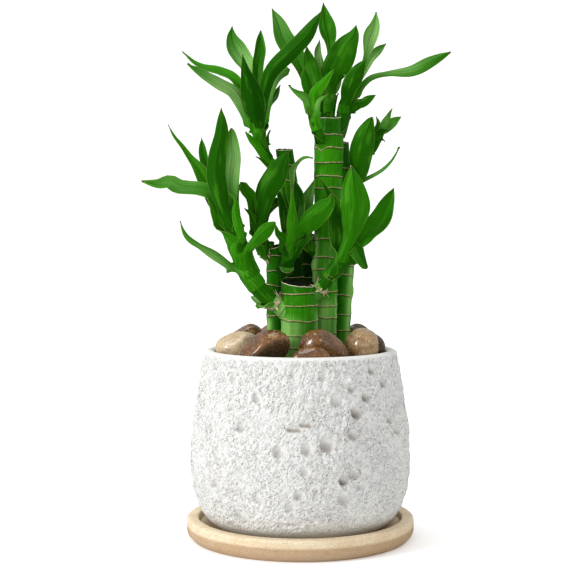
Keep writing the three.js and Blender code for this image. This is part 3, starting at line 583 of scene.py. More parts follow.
def close_ends(bm, verts):
    """Fills the open ends of a tube."""
    edges = {edge for vert in verts for edge in vert.link_edges if edge.is_boundary}
    bmesh.ops.holes_fill(bm, edges=list(edges), sides=0)


def piece(name, bm, finish, nodes, crease):
    """A finished piece that rides on the plant's one body."""
    bmesh.ops.recalc_face_normals(bm, faces=bm.faces[:])
    mesh = bpy.data.meshes.new(name)
    bm.to_mesh(mesh)
    bm.free()
    mesh.shade_smooth()
    mesh.set_sharp_from_angle(angle=math.radians(crease))
    mesh.materials.append(finish)
    made = bpy.data.objects.new(name, mesh)
    bpy.context.scene.collection.objects.link(made)
    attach(made, "root")
    if nodes:
        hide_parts(*nodes)


# Shader helpers
def feed(tree, socket, value):
    """Links a value that is a socket, and sets any other."""
    if isinstance(value, bpy.types.NodeSocket):
        tree.links.new(value, socket)
    else:
        socket.default_value = value


def add_node(tree, kind, **values):
    """A node of a tree, with its settings and its inputs by name, or by number as in i0."""
    made = tree.nodes.new(kind)
    for name, value in values.items():
        if hasattr(made, name):
            setattr(made, name, value)
        elif name[1:].isdigit():
            feed(tree, made.inputs[int(name[1:])], value)
        else:
            feed(tree, made.inputs[name.replace("_", " ")], value)
    return made


def hue(code):
    """A colour in linear light from its usual six digits."""
    parts = [int(code[i : i + 2], 16) / 255 for i in (1, 3, 5)]
    return tuple(c / 12.92 if c <= 0.04045 else ((c + 0.055) / 1.055) ** 2.4 for c in parts)


def mixed(tree, share, a, b):
    """Colour a turning to colour b by share. A colour is a socket, six digits or four numbers."""
    made = tree.nodes.new("ShaderNodeMix")
    made.data_type = "RGBA"
    for socket, value in zip((made.inputs[0], made.inputs[6], made.inputs[7]), (share, a, b)):
        feed(tree, socket, (*hue(value), 1) if isinstance(value, str) else value)
    return made.outputs[2]


def maths(tree, operation, a, b=0.0, c=0.0):
    return add_node(tree, "ShaderNodeMath", operation=operation, i0=a, i1=b, i2=c).outputs[0]


def times(tree, a, b):
    return maths(tree, "MULTIPLY", a, b)


def from_half(tree, value):
    """How far a value lies from one half."""
    return maths(tree, "ABSOLUTE", maths(tree, "SUBTRACT", value, 0.5))


def ranged(tree, value, low, high, to_low=0.0, to_high=1.0):
    """A value led smoothly from one range to another, and held at its ends."""
    return add_node(
        tree, "ShaderNodeMapRange", interpolation_type="SMOOTHSTEP", Value=value,
        From_Min=low, From_Max=high, To_Min=to_low, To_Max=to_high,
    ).outputs["Result"]


def attribute(tree, name):
    return add_node(tree, "ShaderNodeAttribute", attribute_name=name).outputs["Fac"]


def height_of(tree, spot):
    return add_node(tree, "ShaderNodeSeparateXYZ", Vector=spot).outputs["Z"]


def grained(tree, vector, scale, detail=3.0, rough=0.55, stretch=None):
    """Noise from 0 to 1, in a stretched space where that is asked."""
    if stretch:
        vector = add_node(tree, "ShaderNodeMapping", Vector=vector, Scale=stretch).outputs[0]
    made = add_node(tree, "ShaderNodeTexNoise", Vector=vector, Scale=scale, Detail=detail, Roughness=rough)
    return made.outputs["Fac"]


def cells(tree, vector, scale):
    """The distance from the nearest of many scattered points."""
    return add_node(tree, "ShaderNodeTexVoronoi", Vector=vector, Scale=scale).outputs["Distance"]


def material(name, roughness, **settings):
    """A new material: its tree, its shader, and the place of each spot of its surface."""
    made = bpy.data.materials.new(name)
    made.use_nodes = True
    tree = made.node_tree
    shader = tree.nodes["Principled BSDF"]
    shader.inputs["Roughness"].default_value = roughness
    for key, value in settings.items():
        shader.inputs[key.replace("_", " ")].default_value = value
    return made, tree, shader, tree.nodes.new("ShaderNodeTexCoord").outputs["Object"]


def bumped(tree, shader, height, depth, strength, under=None):
    """A bump that is depth metres high, laid on the shader's normal or on another bump."""
    made = add_node(tree, "ShaderNodeBump", Strength=strength, Distance=depth, Height=height)
    if under is not None:
        tree.links.new(under, made.inputs["Normal"])
    tree.links.new(made.outputs[0], shader.inputs["Normal"])
    return made.outputs[0]


def wire(tree, socket, target, name):
    tree.links.new(socket, target.inputs[name])


def new_group(name, inputs, outputs):
    """A shader node group with float or vector inputs, and its tree and ends."""
    tree = bpy.data.node_groups.new(name, "ShaderNodeTree")
    for label, kind, value in inputs:
        socket = tree.interface.new_socket(name=label, in_out="INPUT", socket_type=kind)
        if value is not None:
            socket.default_value = value
    for label, kind in outputs:
        tree.interface.new_socket(name=label, in_out="OUTPUT", socket_type=kind)
    return tree, tree.nodes.new("NodeGroupInput"), tree.nodes.new("NodeGroupOutput")


def fibre_group():
    """Fine lines that run the way the plant grows, for canes, stems and leaves."""
    tree, start, end = new_group(
        "PlantFibre",
        [
            ("Vector", "NodeSocketVector", None),
            ("Across", "NodeSocketFloat", 60.0),
            ("Along", "NodeSocketFloat", 1.0),
        ],
        [("Lines", "NodeSocketFloat"), ("Cloud", "NodeSocketFloat")],
    )
    spot, across, up = (start.outputs[label] for label in ("Vector", "Across", "Along"))
    size = add_node(tree, "ShaderNodeCombineXYZ", X=across, Y=up, Z=1.0).outputs[0]
    space = add_node(tree, "ShaderNodeVectorMath", operation="MULTIPLY", i0=spot, i1=size).outputs[0]
    wire(tree, grained(tree, space, 1.0, 4.0, 0.65), end, "Lines")
    wire(tree, grained(tree, spot, 3.5, 2.0, 0.5), end, "Cloud")
    return tree


def speckle_group():
    """Small specks of two sizes, for wood, stone and soil."""
    tree, start, end = new_group(
        "Speckle",
        [("Vector", "NodeSocketVector", None), ("Scale", "NodeSocketFloat", 900.0)],
        [("Fine", "NodeSocketFloat"), ("Coarse", "NodeSocketFloat")],
    )
    spot, scale = start.outputs["Vector"], start.outputs["Scale"]
    wire(tree, grained(tree, spot, scale, 3.0, 0.5), end, "Fine")
    wire(tree, grained(tree, spot, times(tree, scale, 0.3), 3.0, 0.5), end, "Coarse")
    return tree


FIBRE = fibre_group()
SPECKLE = speckle_group()


def grouped(tree, group, **values):
    made = tree.nodes.new("ShaderNodeGroup")
    made.node_tree = group
    for name, value in values.items():
        feed(tree, made.inputs[name], value)
    return made.outputs


# Finishes
def grown(tree):
    """How far across its own surface each spot lies, how far along, and both joined with a third number
    that differs from leaf to leaf."""
    place = tree.nodes.new("ShaderNodeTexCoord").outputs["UV"]
    split = add_node(tree, "ShaderNodeSeparateXYZ", Vector=place).outputs
    other = times(tree, attribute(tree, "tone"), 37.0)
    joined = add_node(tree, "ShaderNodeCombineXYZ", X=split["X"], Y=split["Y"], Z=other).outputs[0]
    return split["X"], split["Y"], joined


def leaf_material():
    """Leaves and stems: satin green with fine veins, a pale margin and a browned tip, with patches of
    painted light, painted sheen and a midrib line painted dark as crease shade.
    """
    made, tree, shader, _ = material(
        "Leaf", 0.34, Specular_IOR_Level=0.11, Specular_Tint=(0.5, 1, 0.25, 1)
    )
    across, up, spot = grown(tree)
    fibre = grouped(tree, FIBRE, Vector=spot, Across=42.0, Along=1.6)
    deep = mixed(tree, attribute(tree, "tone"), "#0f4a00", "#3f9c0a")
    veined = mixed(tree, ranged(tree, fibre["Lines"], 0.38, 0.66, 0, 0.6), deep, "#0e4400")
    streaky = ranged(tree, fibre["Lines"], 0.62, 0.4, 0.2, 1)
    # Random patches of painted light
    lit = times(tree, ranged(tree, fibre["Cloud"], 0.5, 0.72, 0, 0.4), streaky)
    green = mixed(tree, lit, veined, "#5aa822")
    streaks = ranged(tree, fibre["Lines"], 0.62, 0.42, 0.35, 0.85)
    # Pale streaky patches: painted sheen on most leaves, and the torn flap's own pale green at the left
    # shoot's foot
    clouded = mixed(tree, times(tree, attribute(tree, "sheen"), streaks), green, "#9ccf78")
    # A darker line painted along the midrib crease, as crease shade
    rib = mixed(tree, ranged(tree, from_half(tree, across), 0.0, 0.03, 0.4, 0), clouded, "#174a00")
    margin = mixed(tree, ranged(tree, attribute(tree, "rim"), 0.08, 0.22, 0.4, 0), rib, "#86a64a")
    brown = times(tree, ranged(tree, up, 0.965, 1.0, 0, 0.8), attribute(tree, "blade"))
    tipped = mixed(tree, brown, margin, "#5a4a24")
    ring = ranged(tree, attribute(tree, "ring"), 0.12, 0.35, 0.7, 0)
    ringed = mixed(tree, ring, tipped, "#9a9a5c")
    wire(tree, ringed, shader, "Base Color")
    wire(tree, ranged(tree, fibre["Cloud"], 0.3, 0.7, 0.34, 0.5), shader, "Roughness")
    bumped(tree, shader, fibre["Lines"], 0.00012, 0.6)
    return made


def cane_material():
    """Canes: smooth green with fine upright lines, thin broken tan leaf scars and a pale cut rim, with
    painted light in patches, in streaks and towards the foot, and painted shade under the scars, in the
    hollow and on canes that stand in shade.
    """
    made, tree, shader, spot = material(
        "Cane", 0.3, Specular_IOR_Level=0.13, Specular_Tint=(0.5, 1, 0.3, 1)
    )
    upright = grown(tree)[2]
    height = height_of(tree, spot)
    fibre = grouped(tree, FIBRE, Vector=upright, Across=60.0, Along=2.0)
    deep = mixed(tree, attribute(tree, "tone"), "#166000", "#3a930a")
    # Paler towards the foot: painted reflected light
    pale = mixed(tree, ranged(tree, height, 0.105, 0.09, 0, 0.4), deep, "#74b248")
    lined = mixed(tree, ranged(tree, fibre["Lines"], 0.36, 0.68, 0, 0.45), pale, "#1a5600")
    # Random patches of painted light
    blotch = ranged(tree, grained(tree, spot, 160, 3, 0.6), 0.5, 0.72, 0, 0.4)
    lit = times(tree, blotch, ranged(tree, fibre["Lines"], 0.6, 0.4, 0.3, 1))
    clouded = mixed(tree, lit, lined, "#5ea632")
    # Pale streaks, painted highlights on the canes
    streaked = times(tree, attribute(tree, "pale_streaks"), ranged(tree, fibre["Lines"], 0.66, 0.4, 0.5, 0.95))
    pale_streaks = mixed(tree, streaked, clouded, "#90c868")
    # Painted shade below the scars and on canes that stand in deep shade
    under = times(tree, attribute(tree, "under"), 0.75)
    darkened = mixed(tree, under, pale_streaks, "#0c2603")
    ragged = maths(tree, "MULTIPLY_ADD", grained(tree, spot, 1500, 2), 0.5, -0.25)
    ring = maths(tree, "ADD", attribute(tree, "ring"), ragged)
    broken = ranged(tree, grained(tree, spot, 1500, 2, 0.7), 0.36, 0.5, 0.4, 1)
    band = times(tree, ranged(tree, ring, 0.08, 0.3, 1, 0), broken)
    tan = mixed(tree, ranged(tree, grained(tree, spot, 1300, 2), 0.4, 0.6), "#a8745a", "#ebc4ae")
    ringed = mixed(tree, band, darkened, tan)
    cut = attribute(tree, "cut")
    # The hollow of the cut is painted near black, as shade
    inner = mixed(tree, grained(tree, spot, 1300, 2), "#040c02", "#12200a")
    rim = mixed(tree, broken, "#7fb052", "#d6d8b0")
    face = mixed(tree, ranged(tree, cut, 0.3, 0.8), inner, rim)
    wire(tree, mixed(tree, ranged(tree, cut, 0.01, 0.09), ringed, face), shader, "Base Color")
    matt = times(tree, attribute(tree, "under"), 0.9)
    satin = ranged(tree, fibre["Cloud"], 0.3, 0.7, 0.28, 0.46)
    wire(tree, maths(tree, "MAXIMUM", satin, matt), shader, "Roughness")
    lines = bumped(tree, shader, fibre["Lines"], 0.0001, 0.5)
    bumped(tree, shader, band, 0.0002, 0.5, lines)
    return made


def dry_material():
    """Torn dry sheath round the foot of a shoot."""
    made, tree, shader, spot = material("DrySheath", 0.8)
    specks = grouped(tree, SPECKLE, Vector=spot, Scale=1600.0)
    pale = mixed(tree, ranged(tree, specks["Coarse"], 0.35, 0.65), "#b08468", "#ecd8c4")
    greened = mixed(tree, ranged(tree, specks["Fine"], 0.5, 0.7, 0, 0.6), pale, "#7fa050")
    wire(tree, greened, shader, "Base Color")
    bumped(tree, shader, specks["Fine"], 0.0005, 0.8)
    return made


def concrete_material():
    """White foamed concrete: small soft lumps with pores between them, and painted shade in the pores, in
    the pits and at the foot.
    """
    made, tree, shader, spot = material("Concrete", 0.95, Specular_IOR_Level=0.15)
    height = height_of(tree, spot)
    rough = attribute(tree, "rough")
    slanted = add_node(
        tree, "ShaderNodeMapping", vector_type="TEXTURE", Vector=spot,
        Rotation=(0, math.radians(LUMP_SLANT), 0), Scale=(0.85, 0.85, 1.35),
    ).outputs[0]
    warp = add_node(tree, "ShaderNodeTexNoise", Vector=slanted, Scale=800, Detail=2.0).outputs["Color"]
    bent = add_node(
        tree, "ShaderNodeVectorMath", operation="MULTIPLY_ADD", i0=warp, i1=(0.0016,) * 3, i2=slanted
    ).outputs[0]
    crumbs = grained(tree, slanted, 700, 3, 0.5)
    domes = ranged(tree, cells(tree, bent, 560), 0.05, 0.6, 0.65, 0)
    bubbles = ranged(tree, cells(tree, bent, 640), 0.08, 0.24, 1, 0)
    fine = ranged(tree, cells(tree, bent, 1100), 0.08, 0.24, 0.7, 0)
    crowd = ranged(tree, grained(tree, spot, 90, 2), 0.38, 0.6, 0.25, 1)
    pores = times(tree, maths(tree, "MAXIMUM", bubbles, fine), times(tree, rough, crowd))
    heap = maths(tree, "MULTIPLY_ADD", ranged(tree, crumbs, 0.3, 0.7), 0.5, domes)
    lumps = maths(tree, "SUBTRACT", times(tree, heap, rough), pores)
    specks = grouped(tree, SPECKLE, Vector=spot, Scale=2600.0)
    cloud = grained(tree, spot, 45, 4)
    white = mixed(tree, ranged(tree, cloud, 0.4, 0.7), "#eeeeeb", "#e7e6e3")
    spotted = mixed(tree, ranged(tree, specks["Coarse"], 0.52, 0.8, 0, 0.15), white, "#dddcd8")
    # Painted shade in the pores
    pored = mixed(tree, times(tree, pores, 0.55), spotted, "#a39d92")
    # Painted shade in the pits
    pitted = mixed(tree, times(tree, attribute(tree, "pit_shade"), 0.66), pored, "#8e8476")
    # Painted shade at the foot, beside the saucer
    foot = mixed(tree, ranged(tree, height, 0.016, 0.007, 0, 0.65), pitted, "#928e84")
    wire(tree, foot, shader, "Base Color")
    base = bumped(tree, shader, lumps, 0.00105, 1.0)
    bumped(tree, shader, specks["Fine"], 0.0003, 0.4, base)
    return made


def wood_material():
    """Light wood with its grain along X, darker near the foot."""
    made, tree, shader, spot = material("Wood", 0.55, Specular_IOR_Level=0.3)
    height = height_of(tree, spot)
    bands = grained(tree, spot, 90, 4, 0.6, (0.16, 1, 1.4))
    pores = grained(tree, spot, 900, 3, 0.6, (0.16, 1, 1))
    specks = grouped(tree, SPECKLE, Vector=spot, Scale=2800.0)
    base = mixed(tree, ranged(tree, bands, 0.35, 0.65), "#f3e5c8", "#e8d3af")
    lined = mixed(tree, ranged(tree, pores, 0.5, 0.72, 0, 0.45), base, "#cbae80")
    flecked = mixed(tree, ranged(tree, specks["Fine"], 0.48, 0.66, 0, 0.7), lined, "#bd9d74")
    low = ranged(tree, height, 0.0058, 0.0075, 0.55, 0)
    wire(tree, mixed(tree, low, flecked, "#9a6c42"), shader, "Base Color")
    wire(tree, ranged(tree, pores, 0.3, 0.7, 0.45, 0.65), shader, "Roughness")
    bumped(tree, shader, pores, 0.0002, 0.4)
    return made


def soil_material():
    """Dark crumbly soil with pale grains."""
    made, tree, shader, spot = material("Soil", 0.95, Specular_IOR_Level=0.15)
    specks = grouped(tree, SPECKLE, Vector=spot, Scale=900.0)
    brown = mixed(tree, ranged(tree, specks["Coarse"], 0.35, 0.65), "#1d140d", "#4a3726")
    grains = mixed(tree, ranged(tree, specks["Fine"], 0.62, 0.75, 0, 0.7), brown, "#8a7352")
    wire(tree, grains, shader, "Base Color")
    bumped(tree, shader, specks["Fine"], 0.0012, 0.9)
    return made


def pebble_material(name, base, patch, vein, vein_share):
    """Polished river stone: a base with patches, strong fine specks, thin veins and painted shade on some
    flat faces.
    """
    made, tree, shader, spot = material(
        name, 0.22, Specular_IOR_Level=0.5, Coat_Weight=0.35, Coat_Roughness=0.08
    )
    specks = grouped(tree, SPECKLE, Vector=spot, Scale=2600.0)
    patches = ranged(tree, grained(tree, spot, 95, 4, 0.6, (1, 1, 1.6)), 0.45, 0.62, 0, 0.7)
    stone = mixed(tree, patches, base, patch)
    specked = mixed(tree, ranged(tree, specks["Fine"], 0.48, 0.62, 0, 0.7), stone, patch)
    flecked = mixed(tree, ranged(tree, specks["Coarse"], 0.56, 0.68, 0, 0.35), specked, vein)
    crooked = from_half(tree, grained(tree, spot, 120, 3, 0.6))
    veins = ranged(tree, crooked, 0.004, 0.014, vein_share, 0)
    gate = ranged(tree, grained(tree, spot, 60, 1), 0.5, 0.6)
    veined = mixed(tree, times(tree, veins, gate), flecked, vein)
    # Painted shade on some flat faces
    shaded = times(tree, attribute(tree, "dark"), ranged(tree, specks["Fine"], 0.35, 0.6, 0.6, 0.85))
    wire(tree, mixed(tree, shaded, veined, "#4a3e2a"), shader, "Base Color")
    wire(tree, ranged(tree, specks["Coarse"], 0.35, 0.7, 0.16, 0.34), shader, "Roughness")
    bumped(tree, shader, specks["Coarse"], 0.0003, 0.25)
    return made


LEAF = leaf_material()
CANE = cane_material()
DRY = dry_material()
CONCRETE = concrete_material()
WOOD = wood_material()
SOIL = soil_material()
STONES = {
    "cream": pebble_material("CreamPebble", "#d9c19a", "#ab8a64", "#ece8e2", 0.7),
    "tan": pebble_material("TanPebble", "#b8976c", "#74502e", "#e2cfb4", 0.4),
    "brown": pebble_material("BrownPebble", "#86592f", "#4e341e", "#c9a678", 0.8),
    "dark": pebble_material("DarkPebble", "#584630", "#30261a", "#7a6850", 0.4),
    "grey": pebble_material("GreyPebble", "#80725c", "#4a3c2a", "#a0947e", 0.5),
}


# Saucer and pot
def eased(pairs, steps):
    """Radius and height pairs along a smooth line."""
    line = Path([(r, 0, z) for r, z in pairs])
    return [(p.x, p.z) for p in (line.at(i / steps) for i in range(steps + 1))]


def rounded(r, z, size, start, stop, steps):
    """Radius and height pairs on a round stretch about a centre, from one angle to another in degrees."""
    turn = [math.radians(lerp(start, stop, i / steps)) for i in range(steps + 1)]
    return [(r + size * math.cos(a), z + size * math.sin(a)) for a in turn]


def turned(bm, outline, sides, shaped=None):
    """A ring turned from a closed outline of radius and height pairs."""
    loop = [*outline, outline[0]]

    def surface(u, v):
        r, z = loop[round(u * (len(loop) - 1))]
        turn = 2 * math.pi * v
        if shaped:
            return shaped(r, z, turn)
        return (r * math.sin(turn), -r * math.cos(turn), z), {}

    sheet(bm, sides, len(loop) - 1, surface, closed=True)


def make_saucer():
    s = SAUCER
    outline = [
        (0.01, 0), (20, 0), (40, 0), *rounded(s["foot"] - 0.8, 0.8, 0.8, -90, -20, 3),
        (s["radius"] - 0.5, 2.6), (s["radius"], 4.2), (s["radius"], 7),
        *rounded(s["radius"] - s["round"], s["height"] - s["round"], s["round"], 0, 90, 6),
        (s["radius"] - 3, s["height"]), *rounded(s["well"] + 1, s["height"] - 1, 1, 90, 180, 4),
        (s["well"], 7.5), *rounded(s["well"] - 1.2, s["floor"] + 1.2, -1.2, 180, 270, 4),
        (40, s["floor"]), (20, s["floor"]), (0.01, s["floor"]),
    ]
    bm = new_mesh()
    turned(bm, outline, SAUCER_SIDES)
    piece("wood_saucer", bm, WOOD, ["saucer"], crease=50)


def scattered_pits():
    """Smaller pits all round the pot, and larger ones round its back, by a seeded draw."""
    draw = random.Random(PIT_SEED)
    small = [
        (draw.uniform(-180, 180), draw.uniform(14, 90), draw.uniform(0.6, 1.4), draw.uniform(0.2, 0.7))
        for _ in range(SMALL_PITS)
    ]
    return small + [
        (draw.uniform(80, 285), draw.uniform(20, 86), draw.uniform(1.5, 2.9), draw.uniform(0.7, 1.2))
        for _ in range(BACK_PITS)
    ]


def make_pot():
    """The concrete pot: its outside pushed out at the lumps and in at the pits, which are deepest at their
    lower left and painted darkest there as shade, and its inside smooth."""
    outer = eased(OUTSIDE, POT_ROWS)
    lip = (OUTSIDE[-1][0] - HOLLOW[-1][0]) / 2
    spring = RIM_TOP - lip * RIM_FLATNESS
    bow = rounded(0, 0, lip, 8, 172, RIM_ROWS)
    arch = [(HOLLOW[-1][0] + lip + r, spring + z * RIM_FLATNESS) for r, z in bow]
    outline = [
        (DRAIN, POT_BOTTOM), (20, POT_BOTTOM), *outer, *arch, *eased(HOLLOW, HOLLOW_ROWS)[::-1],
        (HOLLOW_FOOT, POT_FLOOR), (DRAIN, POT_FLOOR),
    ]
    slots = [
        (lerp(low, high, k / 5), z, SLOT_RADIUS, SLOT_DEPTH) for low, high, z in SLOTS for k in range(6)
    ]
    pits = PITS + slots + scattered_pits()
    turns = np.radians([p[0] for p in pits])
    heights = np.array([p[1] for p in pits])
    radii = np.array([p[2] * PIT_WIDTH for p in pits])
    strengths = np.array([p[3] for p in pits])
    skin = set(outer + [spot for spot in arch if spot[0] > SKIN_EDGE])

    def shaped(r, z, turn):
        turn -= POT_CROWDING * math.sin(turn)
        x, y = math.sin(turn), -math.cos(turn)
        if (r, z) not in skin:
            return (r * x, r * y, z), {"rough": 0.0, "pit_shade": 0.0}
        rough = smooth(z, *ROUGH_FROM) * (1 - smooth(z, *ROUGH_TO))
        spot = Vector((r * x, r * y, z))
        lumps = sum(size * noise.noise(spot * rate) for size, rate in POT_LUMPS)
        away = short_way(turns - turn)
        wobble = 1 + 0.1 * noise.noise(spot * 0.5)
        share = np.minimum(np.hypot(away * r, heights - z) * wobble / radii, 1)
        low = np.clip((0.85 * (heights - z) + 0.45 * away * r) / radii, -1, 1)
        bowl = (1 - share**2) ** 0.4 * strengths
        bite = (bowl * radii * PIT_DEPTH * (1 + 0.3 * low)).max()
        # Painted shade in each pit, darkest at its lower left
        dark = (np.minimum(bowl * strengths, 1.8) * np.clip(0.4 + 0.75 * low, 0, 1)).max()
        bite *= min(1, rough + 0.4)
        rough *= 1 - 0.8 * min(1, bowl.max())
        push = rough * (lumps - 0.1) - bite
        shift = 0.35 * rough * noise.noise(spot * 0.5 + Vector((9, 0, 0)))
        return ((r + push) * x, (r + push) * y, z + shift), {"rough": rough, "pit_shade": dark}

    bm = new_mesh(["rough", "pit_shade"])
    turned(bm, outline, POT_SIDES, shaped)
    piece("concrete_pot", bm, CONCRETE, ["pot"], crease=75)


# Soil and pebbles
def make_soil():
    """A crumbly top on the soil's solid, with fine gravel between the pebbles."""
    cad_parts["soil"].data.materials.clear()
    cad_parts["soil"].data.materials.append(SOIL)
    draw = random.Random(GRAVEL_SEED)
    feet = [(cane["axis"][1][0], cane["axis"][1][1], cane["axis"][0][3]) for cane in CANES.values()]
    bm = new_mesh()
    placed = []
    for _ in range(GRAVEL_TRIES):
        size = draw.uniform(*GRAVEL_SIZES)
        reach = GRAVEL_REACH * math.sqrt(draw.random())
        turn = draw.uniform(0, 2 * math.pi)
        spot = Vector((reach * math.cos(turn), reach * math.sin(turn), 0))
        if reach > GRAVEL_EDGE - size:
            continue
        if any(math.hypot(spot.x - x, spot.y - y) < r + size * 0.8 for x, y, r in feet):
            continue
        if any((spot - other).length < GRAVEL_NEARNESS * (size + r) for other, r in placed):
            continue
        placed.append((spot, size))
    for spot, size in placed:
        made = bmesh.ops.create_icosphere(bm, subdivisions=GRAVEL_CUTS, radius=1)["verts"]
        turn = Quaternion((draw.uniform(-1, 1), draw.uniform(-1, 1), draw.uniform(-1, 1), 1)).normalized()
        half = Vector([size * draw.uniform(*shares) for shares in ((0.8, 1.2), (0.7, 1), (0.55, 0.8))])
        centre = Vector((spot.x, spot.y, SOIL_TOP + half.z * GRAVEL_STAND))
        for vert in made:
            lump = 1 + 0.12 * noise.noise(vert.co * 1.4 + spot)
            vert.co = (centre + turn @ Vector(a * b * lump for a, b in zip(vert.co, half))) * MM
    piece("fine_gravel", bm, STONES["grey"], (), crease=180)


def make_pebbles():
    """Each pebble at its solid's place: a lumpy egg, pulled to one side and rubbed flat in places."""
    for index, (tone, half, turn, lean, pull, shift, faces) in enumerate(PEBBLES):
        node = "pebble_%02d" % (index + 1)
        low, high = (Vector(corner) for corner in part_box(node))
        centre = (low + high) / 2 / MM + Vector((shift[0], 0, shift[1]))
        turned_by = Quaternion((0, 0, 1), math.radians(turn)) @ Quaternion((0, 1, 0), math.radians(lean))
        flats = [(Vector(face[:3]).normalized(), face[3], face[4]) for face in faces]
        bm = new_mesh(["dark"])
        for vert in bmesh.ops.create_icosphere(bm, subdivisions=PEBBLE_CUTS, radius=1)["verts"]:
            spot = vert.co.copy()
            lump = 1.01 + 0.05 * math.sin(3 * spot.x + index) * math.cos(2.5 * spot.y - index)
            lump += 0.04 * spot.x * spot.z
            lump += 0.05 * noise.noise(spot * 1.3 + Vector((index * 5, 0, 0)))
            darkness = 0
            for normal, reach, dark in flats:
                over = (spot.dot(normal) - reach) / 0.05
                darkness = max(darkness, dark * smooth(over, -1.5, 1.5))
                spot -= normal * (0.045 * math.log1p(math.exp(min(over, 30))))
            spot.z *= 1 + 0.3 * pull * spot.x
            spot.x += 0.25 * pull * (spot.z - 0.3)
            vert.co = (centre + turned_by @ Vector(a * b * lump for a, b in zip(spot, half))) * MM
            vert[bm.verts.layers.float["dark"]] = darkness
        piece("stone_%02d" % (index + 1), bm, STONES[tone], [node], crease=180)


# Canes
def cane_at(axis, z):
    """Where a cane's axis is at a height, and the radius there."""
    i = 0
    while i < len(axis) - 2 and z > axis[i + 1][2]:
        i += 1
    a, b = axis[i], axis[i + 1]
    share = (z - a[2]) / (b[2] - a[2])
    return [lerp(a[k], b[k], share) for k in (0, 1, 3)]


def cane_rows(foot, top, scars):
    """Heights of a cane's rings: close together at each scar and wider between."""
    near = [-1.6, -1.1, -0.8, -0.5, -0.25, 0, 0.25, 0.5, 0.9, 1.5]
    rows = {foot, top - 0.5, top}
    for scar in scars:
        rows.update(round(scar + step, 3) for step in near if scar + step < top - 0.4)
    listed = sorted(rows)
    for low, high in zip(listed, listed[1:]):
        extra = int((high - low) / CANE_ROW_GAP)
        rows.update(lerp(low, high, (k + 1) / (extra + 1)) for k in range(extra))
    return sorted(rows)


def make_cane(index, name, cane):
    """A cane with its leaf scars, buds and cut mouth."""
    axis, scars, buds = cane["axis"], cane["scars"], cane.get("buds", ())
    slant, sag = cane.get("slant", (0, 0.14)), cane.get("sag", 0)
    streaks, (shade, shade_end) = cane.get("pale_streaks", ()), cane.get("shade", (0, 0))
    foot, top = axis[0][2], axis[-1][2]
    levels = [(z, 1, 0, int(z == top)) for z in cane_rows(foot, top, scars)]
    levels += [(top, shrink, sink, cut) for shrink, sink, cut in CANE_MOUTH]
    draw = random.Random(CANE_SEED + index)
    tones = [lerp(*cane.get("green", (0.25, 0.85)), draw.random()) for _ in range(len(scars) + 1)]
    tones[-1] *= 0.3
    tilts = {scar: draw.uniform(-0.5, 0.5) for scar in scars}
    leans = {scar: draw.uniform(0, 2 * math.pi) for scar in scars}

    # Share of painted highlight in the pale streaks round the cane
    def painted_highlight_at(turn, z):
        shares = [0]
        for low, high, degrees, spread, share in streaks:
            off = short_way(math.degrees(turn) - degrees, 360)
            within = smooth(z, low - 3, low + 3) * smooth(high + 3 - z, 0, 6)
            shares.append(share * bell(off, spread) * within)
        return max(shares)

    def surface(u, v):
        z, shrink, sink, cut = levels[round(u * (len(levels) - 1))]
        turn = 2 * math.pi * v
        sine, cosine = math.sin(turn), math.cos(turn)
        x, y, radius = cane_at(axis, z)
        nearest = min(scars, key=lambda scar: abs(scar - z))
        gap = z - nearest
        ridge = SCAR_RIDGE * bell(gap, 0.3) - SCAR_GROOVE * bell(gap + 0.6, 0.4)
        swell = SCAR_SWELL * bell(gap, 2.5) - 0.1
        ripple = 0.12 * noise.noise(Vector((sine * 2, cosine * 2, z * 0.08 + index * 7)))
        wave = 0.45 * noise.noise(Vector((sine * 1.6, cosine * 1.6, nearest + index)))
        wave += tilts[nearest] * math.sin(turn + leans[nearest]) - sag * cosine
        wave *= bell(gap, 3) * smooth(top - z, 0.4, 2)
        bump = 0
        for height, degrees in buds:
            side = short_way(turn - math.radians(degrees)) * radius
            rise = z - height - 2.2
            if abs(side) < 4 and abs(rise) < 6:
                bump += BUD_SIZE * bell(side, 1.6) * bell(rise, 1.8 if rise < 0 else 2.6)
                if nearest == height:
                    wave -= 1.5 * bell(side, 1.8) * bell(gap, 1.5)
        r = (radius + ridge + swell + ripple + bump) * shrink
        lift = (slant[0] * sine - slant[1] * cosine) * r * smooth(z, top - 4, top)
        rim = 0.5 * noise.noise(Vector((sine * 9, cosine * 9, index))) if z == top else 0
        # The back of the cut rim is painted darker, as shade
        if cut > 0.5:
            cut = lerp(0.2, 1, smooth(cosine, -0.5, 0.2))
        passed = sum(1 for scar in scars if scar < z)
        # Painted shade just below each scar, and deep painted shade up to a height on canes set in shade
        under = max(bell(gap + 0.55, 0.28), shade * smooth(shade_end - z, 0, 9))
        values = {
            "ring": min(abs(gap), 3), "under": under, "cut": cut, "tone": tones[passed],
            "pale_streaks": painted_highlight_at(turn, z),
        }
        return (x + r * sine, y - r * cosine, z + wave + lift + sink + rim), values

    bm = new_mesh(CANE_VALUES)
    made = sheet(bm, CANE_SIDES, len(levels) - 1, surface, closed=True)
    close_ends(bm, made)
    piece(name + "_cane", bm, CANE, ["cane_" + name], crease=60)


# Shoots
def half_width(widths, share):
    """Half a leaf's width, read smoothly from evenly spaced widths, and closed at the tip."""
    near = [along(widths, share + step) for step in (-0.05, -0.025, 0, 0.025, 0.05)]
    return max(sum(near) / len(near) / 2 * math.sqrt(clamp((1 - share) / 0.05)), 0.08)


